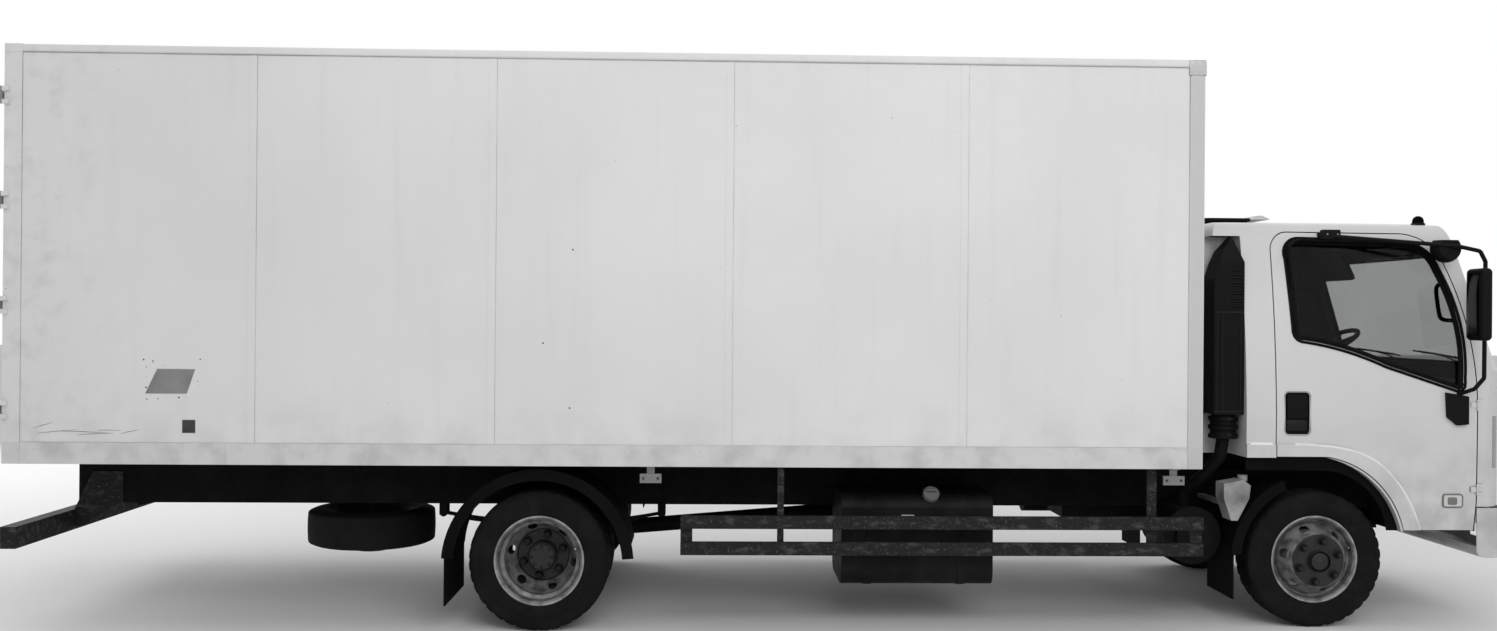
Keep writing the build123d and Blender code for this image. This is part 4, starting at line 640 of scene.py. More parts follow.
def even(points, step, closed=True):
    """The same line with points at even distances."""
    pts = [Vector((p[0], p[1])) for p in points]
    if closed:
        pts.append(pts[0])
    lengths = [0.0]
    for a, b in zip(pts, pts[1:]):
        lengths.append(lengths[-1] + (b - a).length)
    count = max(3, round(lengths[-1] / step))
    out = []
    for k in range(count if closed else count + 1):
        want = lengths[-1] * k / count
        i = max(j for j in range(len(pts) - 1) if lengths[j] <= want + 1e-12)
        t = (want - lengths[i]) / max(1e-12, lengths[i + 1] - lengths[i])
        out.append(pts[i].lerp(pts[i + 1], min(1.0, t)))
    return out


def outward(points, closed=True):
    """Unit normals of a flat closed line, pointing out of it."""
    n = len(points)
    area = sum(a.x * b.y - b.x * a.y for a, b in zip(points, points[1:] + points[:1]))
    sign = 1 if area > 0 else -1
    out = []
    for i in range(n):
        a = points[i - 1] if closed or i else points[i]
        b = points[(i + 1) % n] if closed or i + 1 < n else points[i]
        way = (b - a).normalized()
        out.append(Vector((way.y, -way.x)) * sign)
    return out


TREES = {}


def hit(node, origin, way):
    """Where a ray meets a CAD node, or None."""
    if node not in TREES:
        data = nodes[node].data
        points = [v.co.copy() for v in data.vertices]
        TREES[node] = BVHTree.FromPolygons(points, [tuple(p.vertices) for p in data.polygons])
    return TREES[node].ray_cast(Vector(origin), Vector(way))[0]


def on_side(names, x, z, lift=0.0):
    """Point on the right side's outermost surface of the named nodes, lifted outward."""
    found = None
    for name in names:
        answer = hit(name, (x, -1.6, z), (0, 1, 0))
        if answer and (found is None or answer.y < found.y):
            found = answer
    if found is None:
        return None
    return Vector((x, found.y - lift, z))


def side_strip(points, profile, node_list):
    """A strip along a closed line on the right side. A profile point is (offset in the plane, lift)."""
    normals = outward(points)
    rows = []
    last = [None] * len(profile)
    for p, n in zip(points, normals):
        row = []
        for k, (shift, lift) in enumerate(profile):
            q = p + n * shift
            place = on_side(node_list, q.x, q.y, lift)
            if place is None or (last[k] is not None and abs(place.y - last[k]) > 0.12):
                place = Vector((q.x, last[k] if last[k] is not None else -0.95, q.y))
            last[k] = place.y
            row.append(place)
        rows.append(row)
    return rows + [rows[0]]


def front_strip(points, profile, node_list, way, start):
    """The same on the cab's front (way -1) or back (way 1), for closed lines given as (y, z)."""
    normals = outward(points)
    rows = []
    for p, n in zip(points, normals):
        row = []
        for shift, lift in profile:
            q = p + n * shift
            found = None
            for name in node_list:
                answer = hit(name, (start, q.x, q.y), (way, 0, 0))
                if answer and (found is None or (answer.x - found) * way < 0):
                    found = answer.x
            row.append(Vector(((found if found is not None else start + way) - way * lift, q.x, q.y)))
        rows.append(row)
    return rows + [rows[0]]


def spot(x, y, z):
    """A point with x from the front axle."""
    return Vector((XF + x, y, z))


def rounded(points, radius, count=6):
    """Corners of a flat outline rounded to a radius."""
    out = []
    n = len(points)
    for i in range(n):
        a, b, c = (Vector(points[i - 1]), Vector(points[i]), Vector(points[(i + 1) % n]))
        before, after = (a - b).normalized(), (c - b).normalized()
        angle = acos(max(-1, min(1, before.dot(after))))
        reach = radius / tan(angle / 2)
        p, q = b + before * reach, b + after * reach
        centre = b + (before + after).normalized() * (radius / sin(angle / 2))
        for k in range(count + 1):
            m = p.lerp(q, k / count)
            out.append(tuple(centre + (m - centre).normalized() * radius))
    return out


def oval(x, z, width, height, radius):
    """Rounded rectangle about a point of the side view, x from the front axle."""
    corners = [(x - width / 2, z - height / 2), (x + width / 2, z - height / 2),
               (x + width / 2, z + height / 2), (x - width / 2, z + height / 2)]
    return [(XF + a, b) for a, b in rounded(corners, radius)]


def pad_rows(points, profile, node_list, y=None):
    """Rows of a raised pad from (inset, lift) pairs. A fixed y takes the place of the surface."""
    points = [Vector(p) for p in points]
    normals = outward(points)
    rows = []
    for inset, lift in profile:
        row = []
        for p, n in zip(points, normals):
            q = p - n * inset
            if y is None:
                row.append(on_side(node_list, q.x, q.y, lift) or Vector((q.x, -1.0 - lift, q.y)))
            else:
                row.append(Vector((q.x, y - lift, q.y)))
        rows.append(row)
    return rows


def both_doors(build, name, material, slot, smooth=40):
    """A piece on the right door and its mirror image on the left one."""
    build.piece(f"{name}_right", material, "cab_door_right", slot, smooth)
    build.flipped().piece(f"{name}_left", material, "cab_door_left", slot, smooth)


def front_hit(y, z):
    """The cab's foremost surface at a height."""
    best = -9.0
    for name in ("cab_shell", "cab_glass", "front_panel"):
        answer = hit(name, (4.5, y, z), (-1, 0, 0))
        if answer:
            best = max(best, answer.x)
    return best


def smooth_line(points, count=4):
    """A line rounded through its points' middles."""
    pts = [Vector(p) for p in points]
    out = [pts[0]]
    for i in range(1, len(pts) - 1):
        a, b, c = (pts[i - 1] + pts[i]) / 2, pts[i], (pts[i] + pts[i + 1]) / 2
        for k in range(count + 1):
            t = k / count
            out.append(a.lerp(b, t).lerp(b.lerp(c, t), t))
    out.append(pts[-1])
    return [tuple(p) for p in out]


def mm(points):
    """Side view points in millimetres from the front axle, in metres of the frame."""
    return [(x / 1000 + XF, z / 1000) for x, z in points]


# Camera, light and floor, from the photograph's fitted viewpoint

def set_view():
    """The camera, where the photograph was taken from."""
    yaw, pitch, roll = 0.0300, 0.0015, 0.0080
    ahead = Vector((sin(yaw) * cos(pitch), cos(yaw) * cos(pitch), sin(pitch)))
    right = Vector((cos(yaw), -sin(yaw), 0))
    up = right.cross(ahead)
    right2 = right * cos(roll) + up * sin(roll)
    up2 = up * cos(roll) - right * sin(roll)
    data = bpy.data.cameras.new("camera")
    data.sensor_width = SENSOR
    data.lens = FOCAL * SENSOR
    data.clip_end = 200
    camera = bpy.data.objects.new("camera", data)
    bpy.context.scene.collection.objects.link(camera)
    turn = Matrix((right2, up2, -ahead)).transposed().to_4x4()
    camera.matrix_world = Matrix.Translation((-0.387, -8.116, 1.656)) @ turn
    bpy.context.scene.camera = camera


def set_light():
    """A white studio with three soft lamps. The camera and glossy rays see a brighter world."""
    scene = bpy.context.scene
    scene.view_settings.view_transform = "Standard"
    world = bpy.data.worlds.new("studio")
    scene.world = world
    world.use_nodes = True
    tree = world.node_tree
    soft = tree.nodes.new("ShaderNodeBackground")
    back = tree.nodes["Background"]
    for node, strength in ((soft, 0.52), (back, 1.0)):
        node.inputs["Color"].default_value = (1, 1, 1, 1)
        node.inputs["Strength"].default_value = strength
    seen = tree.nodes.new("ShaderNodeLightPath")
    ray = seen.outputs["Is Camera Ray"]
    for other in ("Is Transmission Ray", "Is Glossy Ray"):
        most = tree.nodes.new("ShaderNodeMath")
        most.operation = "MAXIMUM"
        tree.links.new(ray, most.inputs[0])
        tree.links.new(seen.outputs[other], most.inputs[1])
        ray = most.outputs[0]
    mix = tree.nodes.new("ShaderNodeMixShader")
    tree.links.new(ray, mix.inputs[0])
    tree.links.new(soft.outputs[0], mix.inputs[1])
    tree.links.new(back.outputs[0], mix.inputs[2])
    tree.links.new(mix.outputs[0], tree.nodes["World Output"].inputs["Surface"])
    lamps = (
        # name, place, target, size, power
        ("key", (2.0, -10.5, 6.5), (0.0, 0.0, 1.2), 7.0, 460.0),
        ("fill", (-9.0, 6.0, 5.5), (0.0, 0.0, 1.5), 8.0, 320.0),
        ("top", (0.0, 0.0, 9.5), (0.0, 0.0, 0.0), 9.0, 150.0),
    )
    for name, place, target, size, power in lamps:
        data = bpy.data.lights.new(name, "AREA")
        data.size = size
        data.energy = power
        lamp = bpy.data.objects.new(name, data)
        lamp.location = place
        way = Vector(target) - Vector(place)
        lamp.rotation_euler = way.to_track_quat("-Z", "Y").to_euler()
        bpy.context.scene.collection.objects.link(lamp)


def set_floor():
    """The studio's floor."""
    s = Shader("studio_floor")
    s.colour(s.mix(s.noise(0.4, 3), 0.86, 0.89))
    s.rough(0.9)
    mesh = bpy.data.meshes.new("studio_floor")
    r = 60.0
    mesh.from_pydata([(-r, -r, 0), (r, -r, 0), (r, r, 0), (-r, r, 0)], [], [(0, 1, 2, 3)])
    mesh.materials.append(s.material)
    floor = bpy.data.objects.new("studio_floor", mesh)
    bpy.context.scene.collection.objects.link(floor)


# Tyres with their tread and sidewalls

# A tyre's side: radius and distance from its middle, from the rim's flange to the shoulder
TYRE_SIDE = [(0.2368, 0.0880), (0.2420, 0.0935), (0.2550, 0.1000), (0.2700, 0.1042), (0.2840, 0.1063),
             (0.2860, 0.1075), (0.2900, 0.1075), (0.2920, 0.1065), (0.3080, 0.1062), (0.3240, 0.1043),
             (0.3380, 0.1003), (0.3400, 0.1003), (0.3480, 0.0968), (0.3590, 0.0915), (0.3650, 0.0860),
             (0.3672, 0.0800)]
TREAD_R = 0.3672
GROOVE_R = 0.3590


def tyre_build(x, y):
    """One road tyre: bulged sidewalls with two raised rings, three grooves and cut shoulders."""
    tread = []
    for low, high in ((0.0800, 0.0560), (0.0480, 0.0215), (0.0135, -0.0135)):
        for h in (low, high):
            tread.append((TREAD_R + 0.0026 * (1 - max(h, 0) / 0.08), h))
        if high > 0:
            tread += [(GROOVE_R, high - 0.001), (GROOVE_R, high - 0.007)]
    outer = TYRE_SIDE + tread[1:]
    bead = [(0.2240, -0.0760), (0.2240, 0.0760)]
    profile = outer + [(r, -h) for r, h in reversed(outer[:-1])] + bead
    count = 144
    at = Vector((x, y, AXLE_Z))
    rows = []
    for k in range(count):
        angle = 2 * pi * k / count
        ring = []
        for r, h in profile:
            cut = 0.0
            if 0.358 < r and abs(h) > 0.060 and k % 4 == 0:
                cut = 0.006
            if r > 0.3660 and 0.018 < abs(h) <= 0.056 and k % 4 == 2:
                cut = 0.003
            ring.append(at + Vector((cos(angle) * (r - cut), h, sin(angle) * (r - cut))))
        rows.append(ring)
    rows.append(rows[0])
    return Build().grid(rows, closed=True)


def leaned(build, s):
    """Forms of a front wheel turned to its camber, top outward."""
    middle = Matrix.Translation((XF, s * FRONT_Y, AXLE_Z))
    turn = middle @ Matrix.Rotation(radians(-s * CAMBER), 4, "X") @ middle.inverted()
    build.points = [tuple(turn @ Vector(p)) for p in build.points]
    return build


def make_tyres():
    """Road tyres in place of the CAD tyres."""
    for name, sign in SIDES:
        tyre = leaned(tyre_build(XF, sign * FRONT_Y), sign)
        front = tyre.piece(f"road_tyre_front_{name}", "rubber", f"wheel_front_{name}", "tyre", 30)
        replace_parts(front, f"tyre_front_{name}")
        pair = tyre_build(XR, sign * REAR_Y + TWIN)
        inner = tyre_build(XR, sign * REAR_Y - TWIN)
        pair.add(inner.points, inner.faces)
        rear = pair.piece(f"road_tyres_rear_{name}", "rubber", f"wheels_rear_{name}", "tyre", 30)
        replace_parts(rear, f"tyres_rear_{name}")


def make_wheel_gear():
    """Nut covers, hub rings and tyre valves."""
    front_nut = [(0.0235, 0.0), (0.0235, 0.006), (0.0195, 0.009), (0.0185, 0.026), (0.0155, 0.031),
                 (0.0, 0.032)]
    rear_nut = [(0.0225, 0.0), (0.0225, 0.005), (0.0185, 0.008), (0.0180, 0.030), (0.0150, 0.036),
                (0.0, 0.036)]
    hub_bolt = [(0.0085, 0.0), (0.0085, 0.008), (0.0, 0.0085)]
    hub_ring = [(0.058, 0.0), (0.058, 0.012), (0.053, 0.016), (0.053, 0.030)]
    for name, s in SIDES:
        start = 90 - WHEEL_TURN[name]
        nuts = Build().around(front_nut, XF, WHEEL_FACE, s, STUD_CIRCLE, 6, start, 18)
        nuts.spin(hub_ring, (XF, s * WHEEL_FACE, AXLE_Z), (0, s, 0), 36)
        leaned(nuts, s).piece(f"wheel_nuts_front_{name}", "handle", f"wheel_front_{name}", "black_plastic",
                              35)
        rear = Build().around(rear_nut, XR, REAR_Y + 0.010, s, STUD_CIRCLE, 6, start, 18)
        rear.around(hub_bolt, XR, REAR_Y + 0.103, s, 0.056, 8, 0, 6)
        rear.piece(f"wheel_nuts_rear_{name}", "handle", f"wheels_rear_{name}", "black_plastic", 35)
        for x, y, body in ((XF, FRONT_Y, f"wheel_front_{name}"),
                           (XR, REAR_Y + TWIN, f"wheels_rear_{name}")):
            foot = (x + 0.185, s * (y + 0.055), AXLE_Z + 0.06)
            tip = (x + 0.190, s * (y + 0.085), AXLE_Z + 0.062)
            stem = Build().tube([foot, tip], 0.004, 8)
            stem = leaned(stem, s) if x == XF else stem
            stem.piece(f"valve_{body}", "zinc", body, "rim_paint")


# Box body trim

SEAMS = [BX0 + 1.258 + 1.226 * i for i in range(4)]


def make_rivets():
    """Rivets on the posts, along the seams, the skirt and the top rail."""
    rivets = Build()
    for row in (BX0 + 0.012, BX0 + 0.078):
        for k in range(16):
            rivets.dome((row, -BOX_Y, RIVET_LOW + 0.131 * k), 0.0055, 0.0028)
    for middle in SEAMS:
        for shift in (-0.013, 0.013):
            for k in range(19):
                rivets.dome((middle + shift, -SKIN_Y - 0.002, 1.04 + 0.104 * k), 0.0038, 0.0016)
    for k in range(46):
        x = BX0 + 0.16 + 0.131 * k
        for z in (RIVET_LOW, 3.006):
            rivets.dome((x, -BOX_Y, z), 0.0042, 0.0020)
    for k in range(16):
        rivets.dome((BX1 - 0.070, -BOX_Y, 1.00 + 0.126 * k), 0.0042, 0.0020)
    rivets.mirrored().piece("box_rivets", "box", "chassis", "box_skin")


def make_joint_lines():
    """Light lines where the box's panels, posts and rails meet."""
    rail = BOX_TOP - TOP_RAIL
    beads = Build()
    for middle in SEAMS:
        beads.box((middle + 0.0195, -SKIN_Y - 0.0026, FLOOR), (middle + 0.0210, -SKIN_Y - 0.0005, rail))
    lines = (
        # x0, x1, z0, z1, depth
        (BX0 + 0.0895, BX0 + 0.0915, BOX_LOW, rail, 0.004),
        (BX1 - 0.0860, BX1 - 0.0845, BOX_LOW, rail, 0.004),
        (BX0 + 0.09, BX1 - 0.085, FLOOR - 0.0005, FLOOR + 0.0010, 0.0042),
        (BX0, BX1, rail - 0.001, rail, 0.0042),
        (XF - 5.7712, XF - 5.7688, BOX_LOW, FLOOR, 0.004),
    )
    for x0, x1, z0, z1, depth in lines:
        beads.box((x0, -BOX_Y - 0.0004, z0), (x1, -BOX_Y + depth, z1))
    beads.mirrored().piece("box_joint_lines", "joint", "chassis", "box_skin")


def make_box_marks():
    """The grey patch, the dark plate, specks and scratches on the right side."""
    patch = Build()
    corners = [(XF - 6.178, 1.242), (XF - 5.968, 1.242), (XF - 5.926, 1.368), (XF - 6.118, 1.369)]
    points = [(x, -SKIN_Y - lift, z) for lift in (0.0012, 0.0001) for x, z in corners]
    patch.add(points, [(0, 1, 2, 3)] + [(i, i + 4, (i + 1) % 4 + 4, (i + 1) % 4) for i in range(4)])
    patch.piece("box_patch", "patch", "chassis", "box_skin")
    plate = Build()
    plate.box((XF - 5.989, -SKIN_Y - 0.0018, 1.041), (XF - 5.923, -SKIN_Y, 1.108), 0.0006)
    for k in range(40):
        x = XF - 6.20 + random.random() * 0.30
        z = 1.20 + random.random() * 0.22
        r = 0.0015 + 0.004 * random.random() ** 2
        if XF - 6.17 < x < XF - 5.95 and 1.243 < z < 1.366:
            continue
        plate.dome((x, -SKIN_Y, z), r, 0.0006, 5)
    scratches = (
        # x from the front axle, z, length, rise
        (-6.72, 1.035, 0.20, 0.02), (-6.60, 1.047, 0.26, -0.01), (-6.52, 1.028, 0.18, 0.01),
        (-6.74, 1.062, 0.10, 0.03), (-6.42, 1.052, 0.12, 0.0), (-6.30, 1.035, 0.09, 0.02),
    )
    for x, z, length, slope in scratches:
        start = spot(x, -SKIN_Y - 0.0004, z)
        end = start + Vector((length, 0, slope))
        plate.tube([start, start.lerp(end, 0.4) + Vector((0, 0, 0.002)), end], [0.0006, 0.0011, 0.0004], 5)
    for x, z in ((XF - 4.15, 1.515), (XF - 4.00, 2.000), (XF - 4.01, 1.18)):
        plate.dome((x, -SKIN_Y, z), 0.005, 0.0006, 6)
    plate.piece("box_marks", "smudge", "chassis", "box_skin")


def make_box_fittings():
    """Caps on the front corners and the screws of the side markers."""
    caps = Build()
    low = (BX1 - 0.092, -BOX_Y - 0.002, BOX_TOP - 0.085)
    caps.box(low, (BX1 + 0.002, -BOX_Y + 0.020, BOX_TOP - 0.002), 0.004)
    caps.mirrored().piece("box_corner_caps", "zinc", "chassis", "box_skin")
    screws = Build()
    for x in (XF - 3.590, XF - 0.837):
        for d in (-0.038, 0.038):
            head = [(0.0, 0.003), (0.007, 0.003), (0.008, 0.0), (0.008, -0.002)]
            screws.spin(head, (x + d, -1.114, 0.814), OUT, 10)
    screws.mirrored().piece("marker_screws", "smudge", "chassis", "box_skin")


# Cab: rubber seals, handles, lamps and other trim on both sides

def door_window():
    """The door's daylight, from its upper rear corner down and round."""
    line = [(-158, 2000)]
    line += arc((-135, 1610), (-120, 1570), (-80, 1556))
    line += arc((-80, 1556), (150, 1505), (360, 1425))
    line += [(360, 1425)]
    line += arc((740, 1300), (770, 1305), (778, 1340))
    line += arc((778, 1340), (758, 1690), (668, 1950), 12)
    line += arc((668, 1950), (600, 2050), (470, 2092))
    line += [(470, 2092)]
    line += arc((-80, 2104), (-146, 2078), (-158, 2000))
    return mm(line)


def make_seals():
    """Rubber seals of the doors' windows, the windscreen and the rear window."""
    window = even(door_window(), 0.02)
    band = [(0.017, -0.002)] + [(0.017 - 0.0025 * k, 0.0035 + 0.0003 * k) for k in range(8)]
    band += [(-0.003, 0.006), (-0.006, 0.002)]
    rows = side_strip(window, band, ["cab_door_right"])
    inner = [(-0.003, 0.009), (-0.024, 0.0065), (-0.026, 0.001)]
    rows_in = side_strip(window, inner, ["door_glass_right"])
    strip = Build()
    strip.grid([a + b for a, b in zip(rows, rows_in)])
    strip.piece("door_window_seal_right", "seal", "cab_door_right", "black_plastic", 50)
    strip.flipped().piece("door_window_seal_left", "seal", "cab_door_left", "black_plastic", 50)
    build = Build()
    openings = (
        # outline in y and z, corner radius, lip on the shell, profile on the glass, rays' way and start
        ([(-0.850, 1.415), (0.850, 1.415), (0.770, 2.050), (-0.770, 2.050)], 0.070,
         (0.004, 0.007), [(-0.004, 0.012), (-0.020, 0.0085), (-0.022, 0.0005)], (-1, 4.3)),
        ([(-0.5, 1.57), (0.5, 1.57), (0.5, 1.95), (-0.5, 1.95)], 0.060,
         (0.004, 0.006), [(-0.004, 0.011), (-0.018, 0.0085), (-0.020, 0.0005)], (1, 2.25)),
    )
    for outline, radius, lip, glazing, ray in openings:
        line = even(rounded(outline, radius), 0.025)
        rows = front_strip(line, [(0.016, -0.002), (0.016, 0.004), lip], ["cab_shell"], *ray)
        rows_in = front_strip(line, glazing, ["cab_glass"], *ray)
        build.grid([a + b for a, b in zip(rows, rows_in)])
    build.piece("cab_window_seals", "seal", "cab", "black_plastic", 50)


def make_handles():
    """Outside handles in their recesses, with the lock's plate."""
    door = ["cab_door_right"]
    frame_line = oval(-0.129, 1.165, 0.134, 0.226, 0.022)
    rim = Build()
    edge = [(-0.005, -0.001), (-0.005, 0.0030), (0.003, 0.0035), (0.004, -0.010)]
    rim.grid(pad_rows(frame_line, edge, door), closed=True)
    recess = oval(-0.129, 1.165, 0.130, 0.222, 0.020)
    rim.solid(pad_rows(recess, [(0.0, -0.002), (0.0, 0.001)], door, -0.9845))
    paddle = oval(-0.129, 1.201, 0.112, 0.132, 0.016)
    rim.solid(pad_rows(paddle, [(0.0, 0.0), (0.0, 0.009), (0.004, 0.0125)], door, -0.9850))
    both_doors(rim, "door_handle", "moulded", "black_plastic", 35)
    plate = oval(-0.129, 1.099, 0.112, 0.060, 0.012)
    low = Build().solid(pad_rows(plate, [(0.0, 0.0), (0.0, 0.005), (0.003, 0.007)], door, -0.9850))
    low.spin([(0.010, 0.0), (0.010, 0.002), (0.0, 0.002)], (XF - 0.163, -0.9920, 1.080), OUT, 20)
    both_doors(low, "door_handle_plate", "handle", "black_plastic", 35)


def make_turn_lamps():
    """Turn lamps on the doors: bezel, clear lens and smoky eye."""
    door = ["cab_door_right"]
    line = oval(0.7215, 0.698, 0.111, 0.074, 0.016)
    edge = [(-0.001, -0.002), (-0.001, 0.006), (0.004, 0.0085), (0.007, 0.006)]
    bezel = Build().grid(pad_rows(line, edge, door), closed=True)
    both_doors(bezel, "turn_lamp_bezel", "patch", "grey_plastic", 35)
    glassy = pad_rows(line, [(0.006, 0.001), (0.006, 0.007), (0.010, 0.0105), (0.022, 0.0125)], door)
    both_doors(Build().solid(glassy[:-1]), "turn_lamp", "lamp", "lamp", 30)
    inner = pad_rows(oval(0.716, 0.698, 0.050, 0.040, 0.010),
                     [(0.0, 0.0105), (0.0, 0.0140), (0.010, 0.0146)], door)
    both_doors(Build().solid(inner[:-1]), "turn_lamp_eye", "smoke", "lamp", 30)


def make_mirror_gear():
    """The mirror bracket's screws and the mirror glass."""
    screws = Build()
    for x, z in ((0.055, 2.133), (0.112, 2.133)):
        place = on_side(["mirrors_right"], XF + x, z)
        if place:
            screws.spin([(0.0045, -0.001), (0.0045, 0.0015), (0.0, 0.002)], place, OUT, 12)
    both_doors(screws, "mirror_screws", "patch", "black_plastic")

    mirrors = Build()
    turn = radians(6)
    normal = Vector((-cos(turn), sin(turn), 0))
    along = Vector((sin(turn), cos(turn), 0))
    centre = spot(0.762, -1.165, 1.755) + normal * 0.0312
    outline = rounded([(-0.075, -0.165), (0.075, -0.165), (0.075, 0.165), (-0.075, 0.165)], 0.025)
    rows = []
    for scale, lift in ((1.0, -0.001), (1.0, 0.0012), (0.96, 0.0018), (0.5, 0.0030), (0.02, 0.0034)):
        rows.append([centre + along * (a * scale) + Vector((0, 0, b * scale)) + normal * lift
                     for a, b in outline])
    mirrors.solid(rows)
    both_doors(mirrors, "mirror_glass", "mirror", "glass", 60)


def make_roof_gear():
    """Marker lamps over the windscreen and wipers under it."""
    lamps = Build()
    feet = Build()
    for y in (-0.70, 0.70):
        place = hit("cab_shell", (XF + 0.680, y, 2.6), (0, 0, -1))
        feet.spin([(0.0375, -0.006), (0.0375, 0.006), (0.034, 0.010), (0.0, 0.010)], place, (0, 0, 1), 28)
        lamps.spin([(0.030, 0.008), (0.031, 0.020), (0.027, 0.034), (0.019, 0.044), (0.008, 0.049),
                    (0.0, 0.0495)],
                   place, (0, 0, 1), 28)
    feet.piece("roof_lamp_feet", "moulded", "cab", "black_plastic")
    lamps.piece("roof_lamps", "hollow", "cab", "black_plastic", 60)
    arms = Build()
    for y0, y1 in ((-0.62, 0.02), (0.10, 0.74)):
        foot = Vector((front_hit(y0, 1.360), y0, 1.360))
        arms.spin([(0.020, -0.004), (0.020, 0.010), (0.012, 0.016), (0.0, 0.017)], foot, (1, 0, 0), 18)
        path = []
        for t in (0.0, 0.15, 0.45, 0.75, 1.0):
            y = y0 + (y1 - y0) * 0.86 * t
            z = 1.360 + 0.115 * sin(min(1.0, t * 1.3) * pi / 2)
            at = front_hit(y, z)
            path.append(Vector((at + (0.012 if t else 0.010), y, z)))
        arms.tube(path, [0.0075, 0.0065, 0.0050, 0.0045, 0.0045], 8)
        blade = []
        for k in range(9):
            y = y0 + 0.10 + (y1 - y0 - 0.10) * k / 8
            z = 1.452 + 0.034 * k / 8
            blade.append(Vector((front_hit(y, z) + 0.006, y, z)))
        arms.tube(blade, 0.0050, 6)
        arms.tube([b + Vector((0.006, 0, 0.003)) for b in blade[1:-1]], 0.0040, 6)
    arms.piece("wipers", "moulded", "cab", "black_plastic")


# Seats: padded cushions and backs over the CAD seats' space, swollen as cloth

def cloth_pad(name, size, turn, at, channels):
    """A seat pad that starts a little under its size, swells under pressure and gets sewn channels."""
    build = Build()
    sx, sy, sz = size
    nx, ny = 10, max(8, round(sy / 0.06))
    top, low = [], []
    for i in range(nx + 1):
        for j in range(ny + 1):
            u, v = i / nx * 2 - 1, j / ny * 2 - 1
            pull = 1 - 0.025 * (u * u * v * v)
            crown = 0.010 * (1 - u ** 4) * (1 - v ** 4)
            x, y = u * sx / 2 * pull, v * sy / 2 * pull
            top.append(Vector((x, y, sz / 2 - 0.010 + crown - 0.012 * max(abs(u), abs(v)) ** 8)))
            low.append(Vector((x, y, -sz / 2 + 0.006)))
    cols = ny + 1
    faces = []
    for i in range(nx):
        for j in range(ny):
            a = i * cols + j
            faces.append((a, a + 1, a + cols + 1, a + cols))
    rim = [j for j in range(cols)] + [i * cols + ny for i in range(1, nx + 1)]
    rim += [nx * cols + j for j in range(ny - 1, -1, -1)] + [i * cols for i in range(nx - 1, 0, -1)]
    build.add(top, faces)
    build.add(low, [tuple(reversed(face)) for face in faces])
    n = len(top)
    build.faces += [(a, b, n + b, n + a) for a, b in zip(rim, rim[1:] + rim[:1])]
    pad = build.piece(name, "fabric", "cab", "fabric", 80)
    bevel = pad.modifiers.new("edge", "BEVEL")
    bevel.width = 0.022
    bevel.segments = 3
    bevel.limit_method = "ANGLE"
    remesh = pad.modifiers.new("cells", "REMESH")
    remesh.mode = "VOXEL"
    remesh.voxel_size = 0.0075
    settle(pad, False)
    mesh = pad.data
    points = np.empty(len(mesh.vertices) * 3)
    mesh.vertices.foreach_get("co", points)
    points = points.reshape(-1, 3)
    normals = np.array([tuple(v.normal) for v in mesh.vertices])
    above = np.clip(normals[:, 2], 0, 1)
    depth = np.zeros(len(points))
    for axis, place in channels:
        depth = np.maximum(depth, np.exp(-((points[:, axis] - place) / 0.0075) ** 2))
    edge = np.minimum(sx / 2 - np.abs(points[:, 0]), sy / 2 - np.abs(points[:, 1]))
    piping = np.exp(-((points[:, 2] - (sz / 2 - 0.026)) / 0.0035) ** 2) * (edge < 0.012)
    points += normals * (-0.009 * depth * above + 0.0025 * piping)[:, None]
    limit = np.array([sx, sy, sz]) / 2
    points = np.clip(points, -limit, limit)
    frame_turn = Matrix.Translation(at) @ Matrix.Rotation(radians(turn), 4, "Y")
    moved = points @ np.array(frame_turn.to_3x3()).T + np.array(at)
    mesh.vertices.foreach_set("co", moved.ravel())
    mesh.update()
    for poly in mesh.polygons:
        poly.use_smooth = True
    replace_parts(pad, "seats")


def settle(pad, quick):
    """Apply the shape modifiers, then swell the pad as cloth, each point held near its start."""
    scene = bpy.context.scene
    deps = bpy.context.evaluated_depsgraph_get()
    mesh = bpy.data.meshes.new_from_object(pad.evaluated_get(deps))
    pad.modifiers.clear()
    old = pad.data
    pad.data = mesh
    bpy.data.meshes.remove(old)
    if quick:
        return
    start = np.empty(len(mesh.vertices) * 3)
    mesh.vertices.foreach_get("co", start)
    cloth = pad.modifiers.new("cloth", "CLOTH")
    cloth.settings.use_pressure = True
    cloth.settings.uniform_pressure_force = 4.0
    cloth.settings.effector_weights.gravity = 0.0
    cloth.settings.quality = 4
    cloth.point_cache.frame_start = 1
    cloth.point_cache.frame_end = 20
    for frame_number in range(1, 21):
        scene.frame_set(frame_number)
    deps = bpy.context.evaluated_depsgraph_get()
    shape = pad.evaluated_get(deps).data
    moved = np.empty(len(shape.vertices) * 3)
    shape.vertices.foreach_get("co", moved)
    pad.modifiers.clear()
    scene.frame_set(1)
    step = (moved - start).reshape(-1, 3)
    length = np.linalg.norm(step, axis=1, keepdims=True)
    step *= np.minimum(1.0, 0.012 / np.maximum(length, 1e-9))
    mesh.vertices.foreach_set("co", (start.reshape(-1, 3) + step).ravel())
    mesh.update()


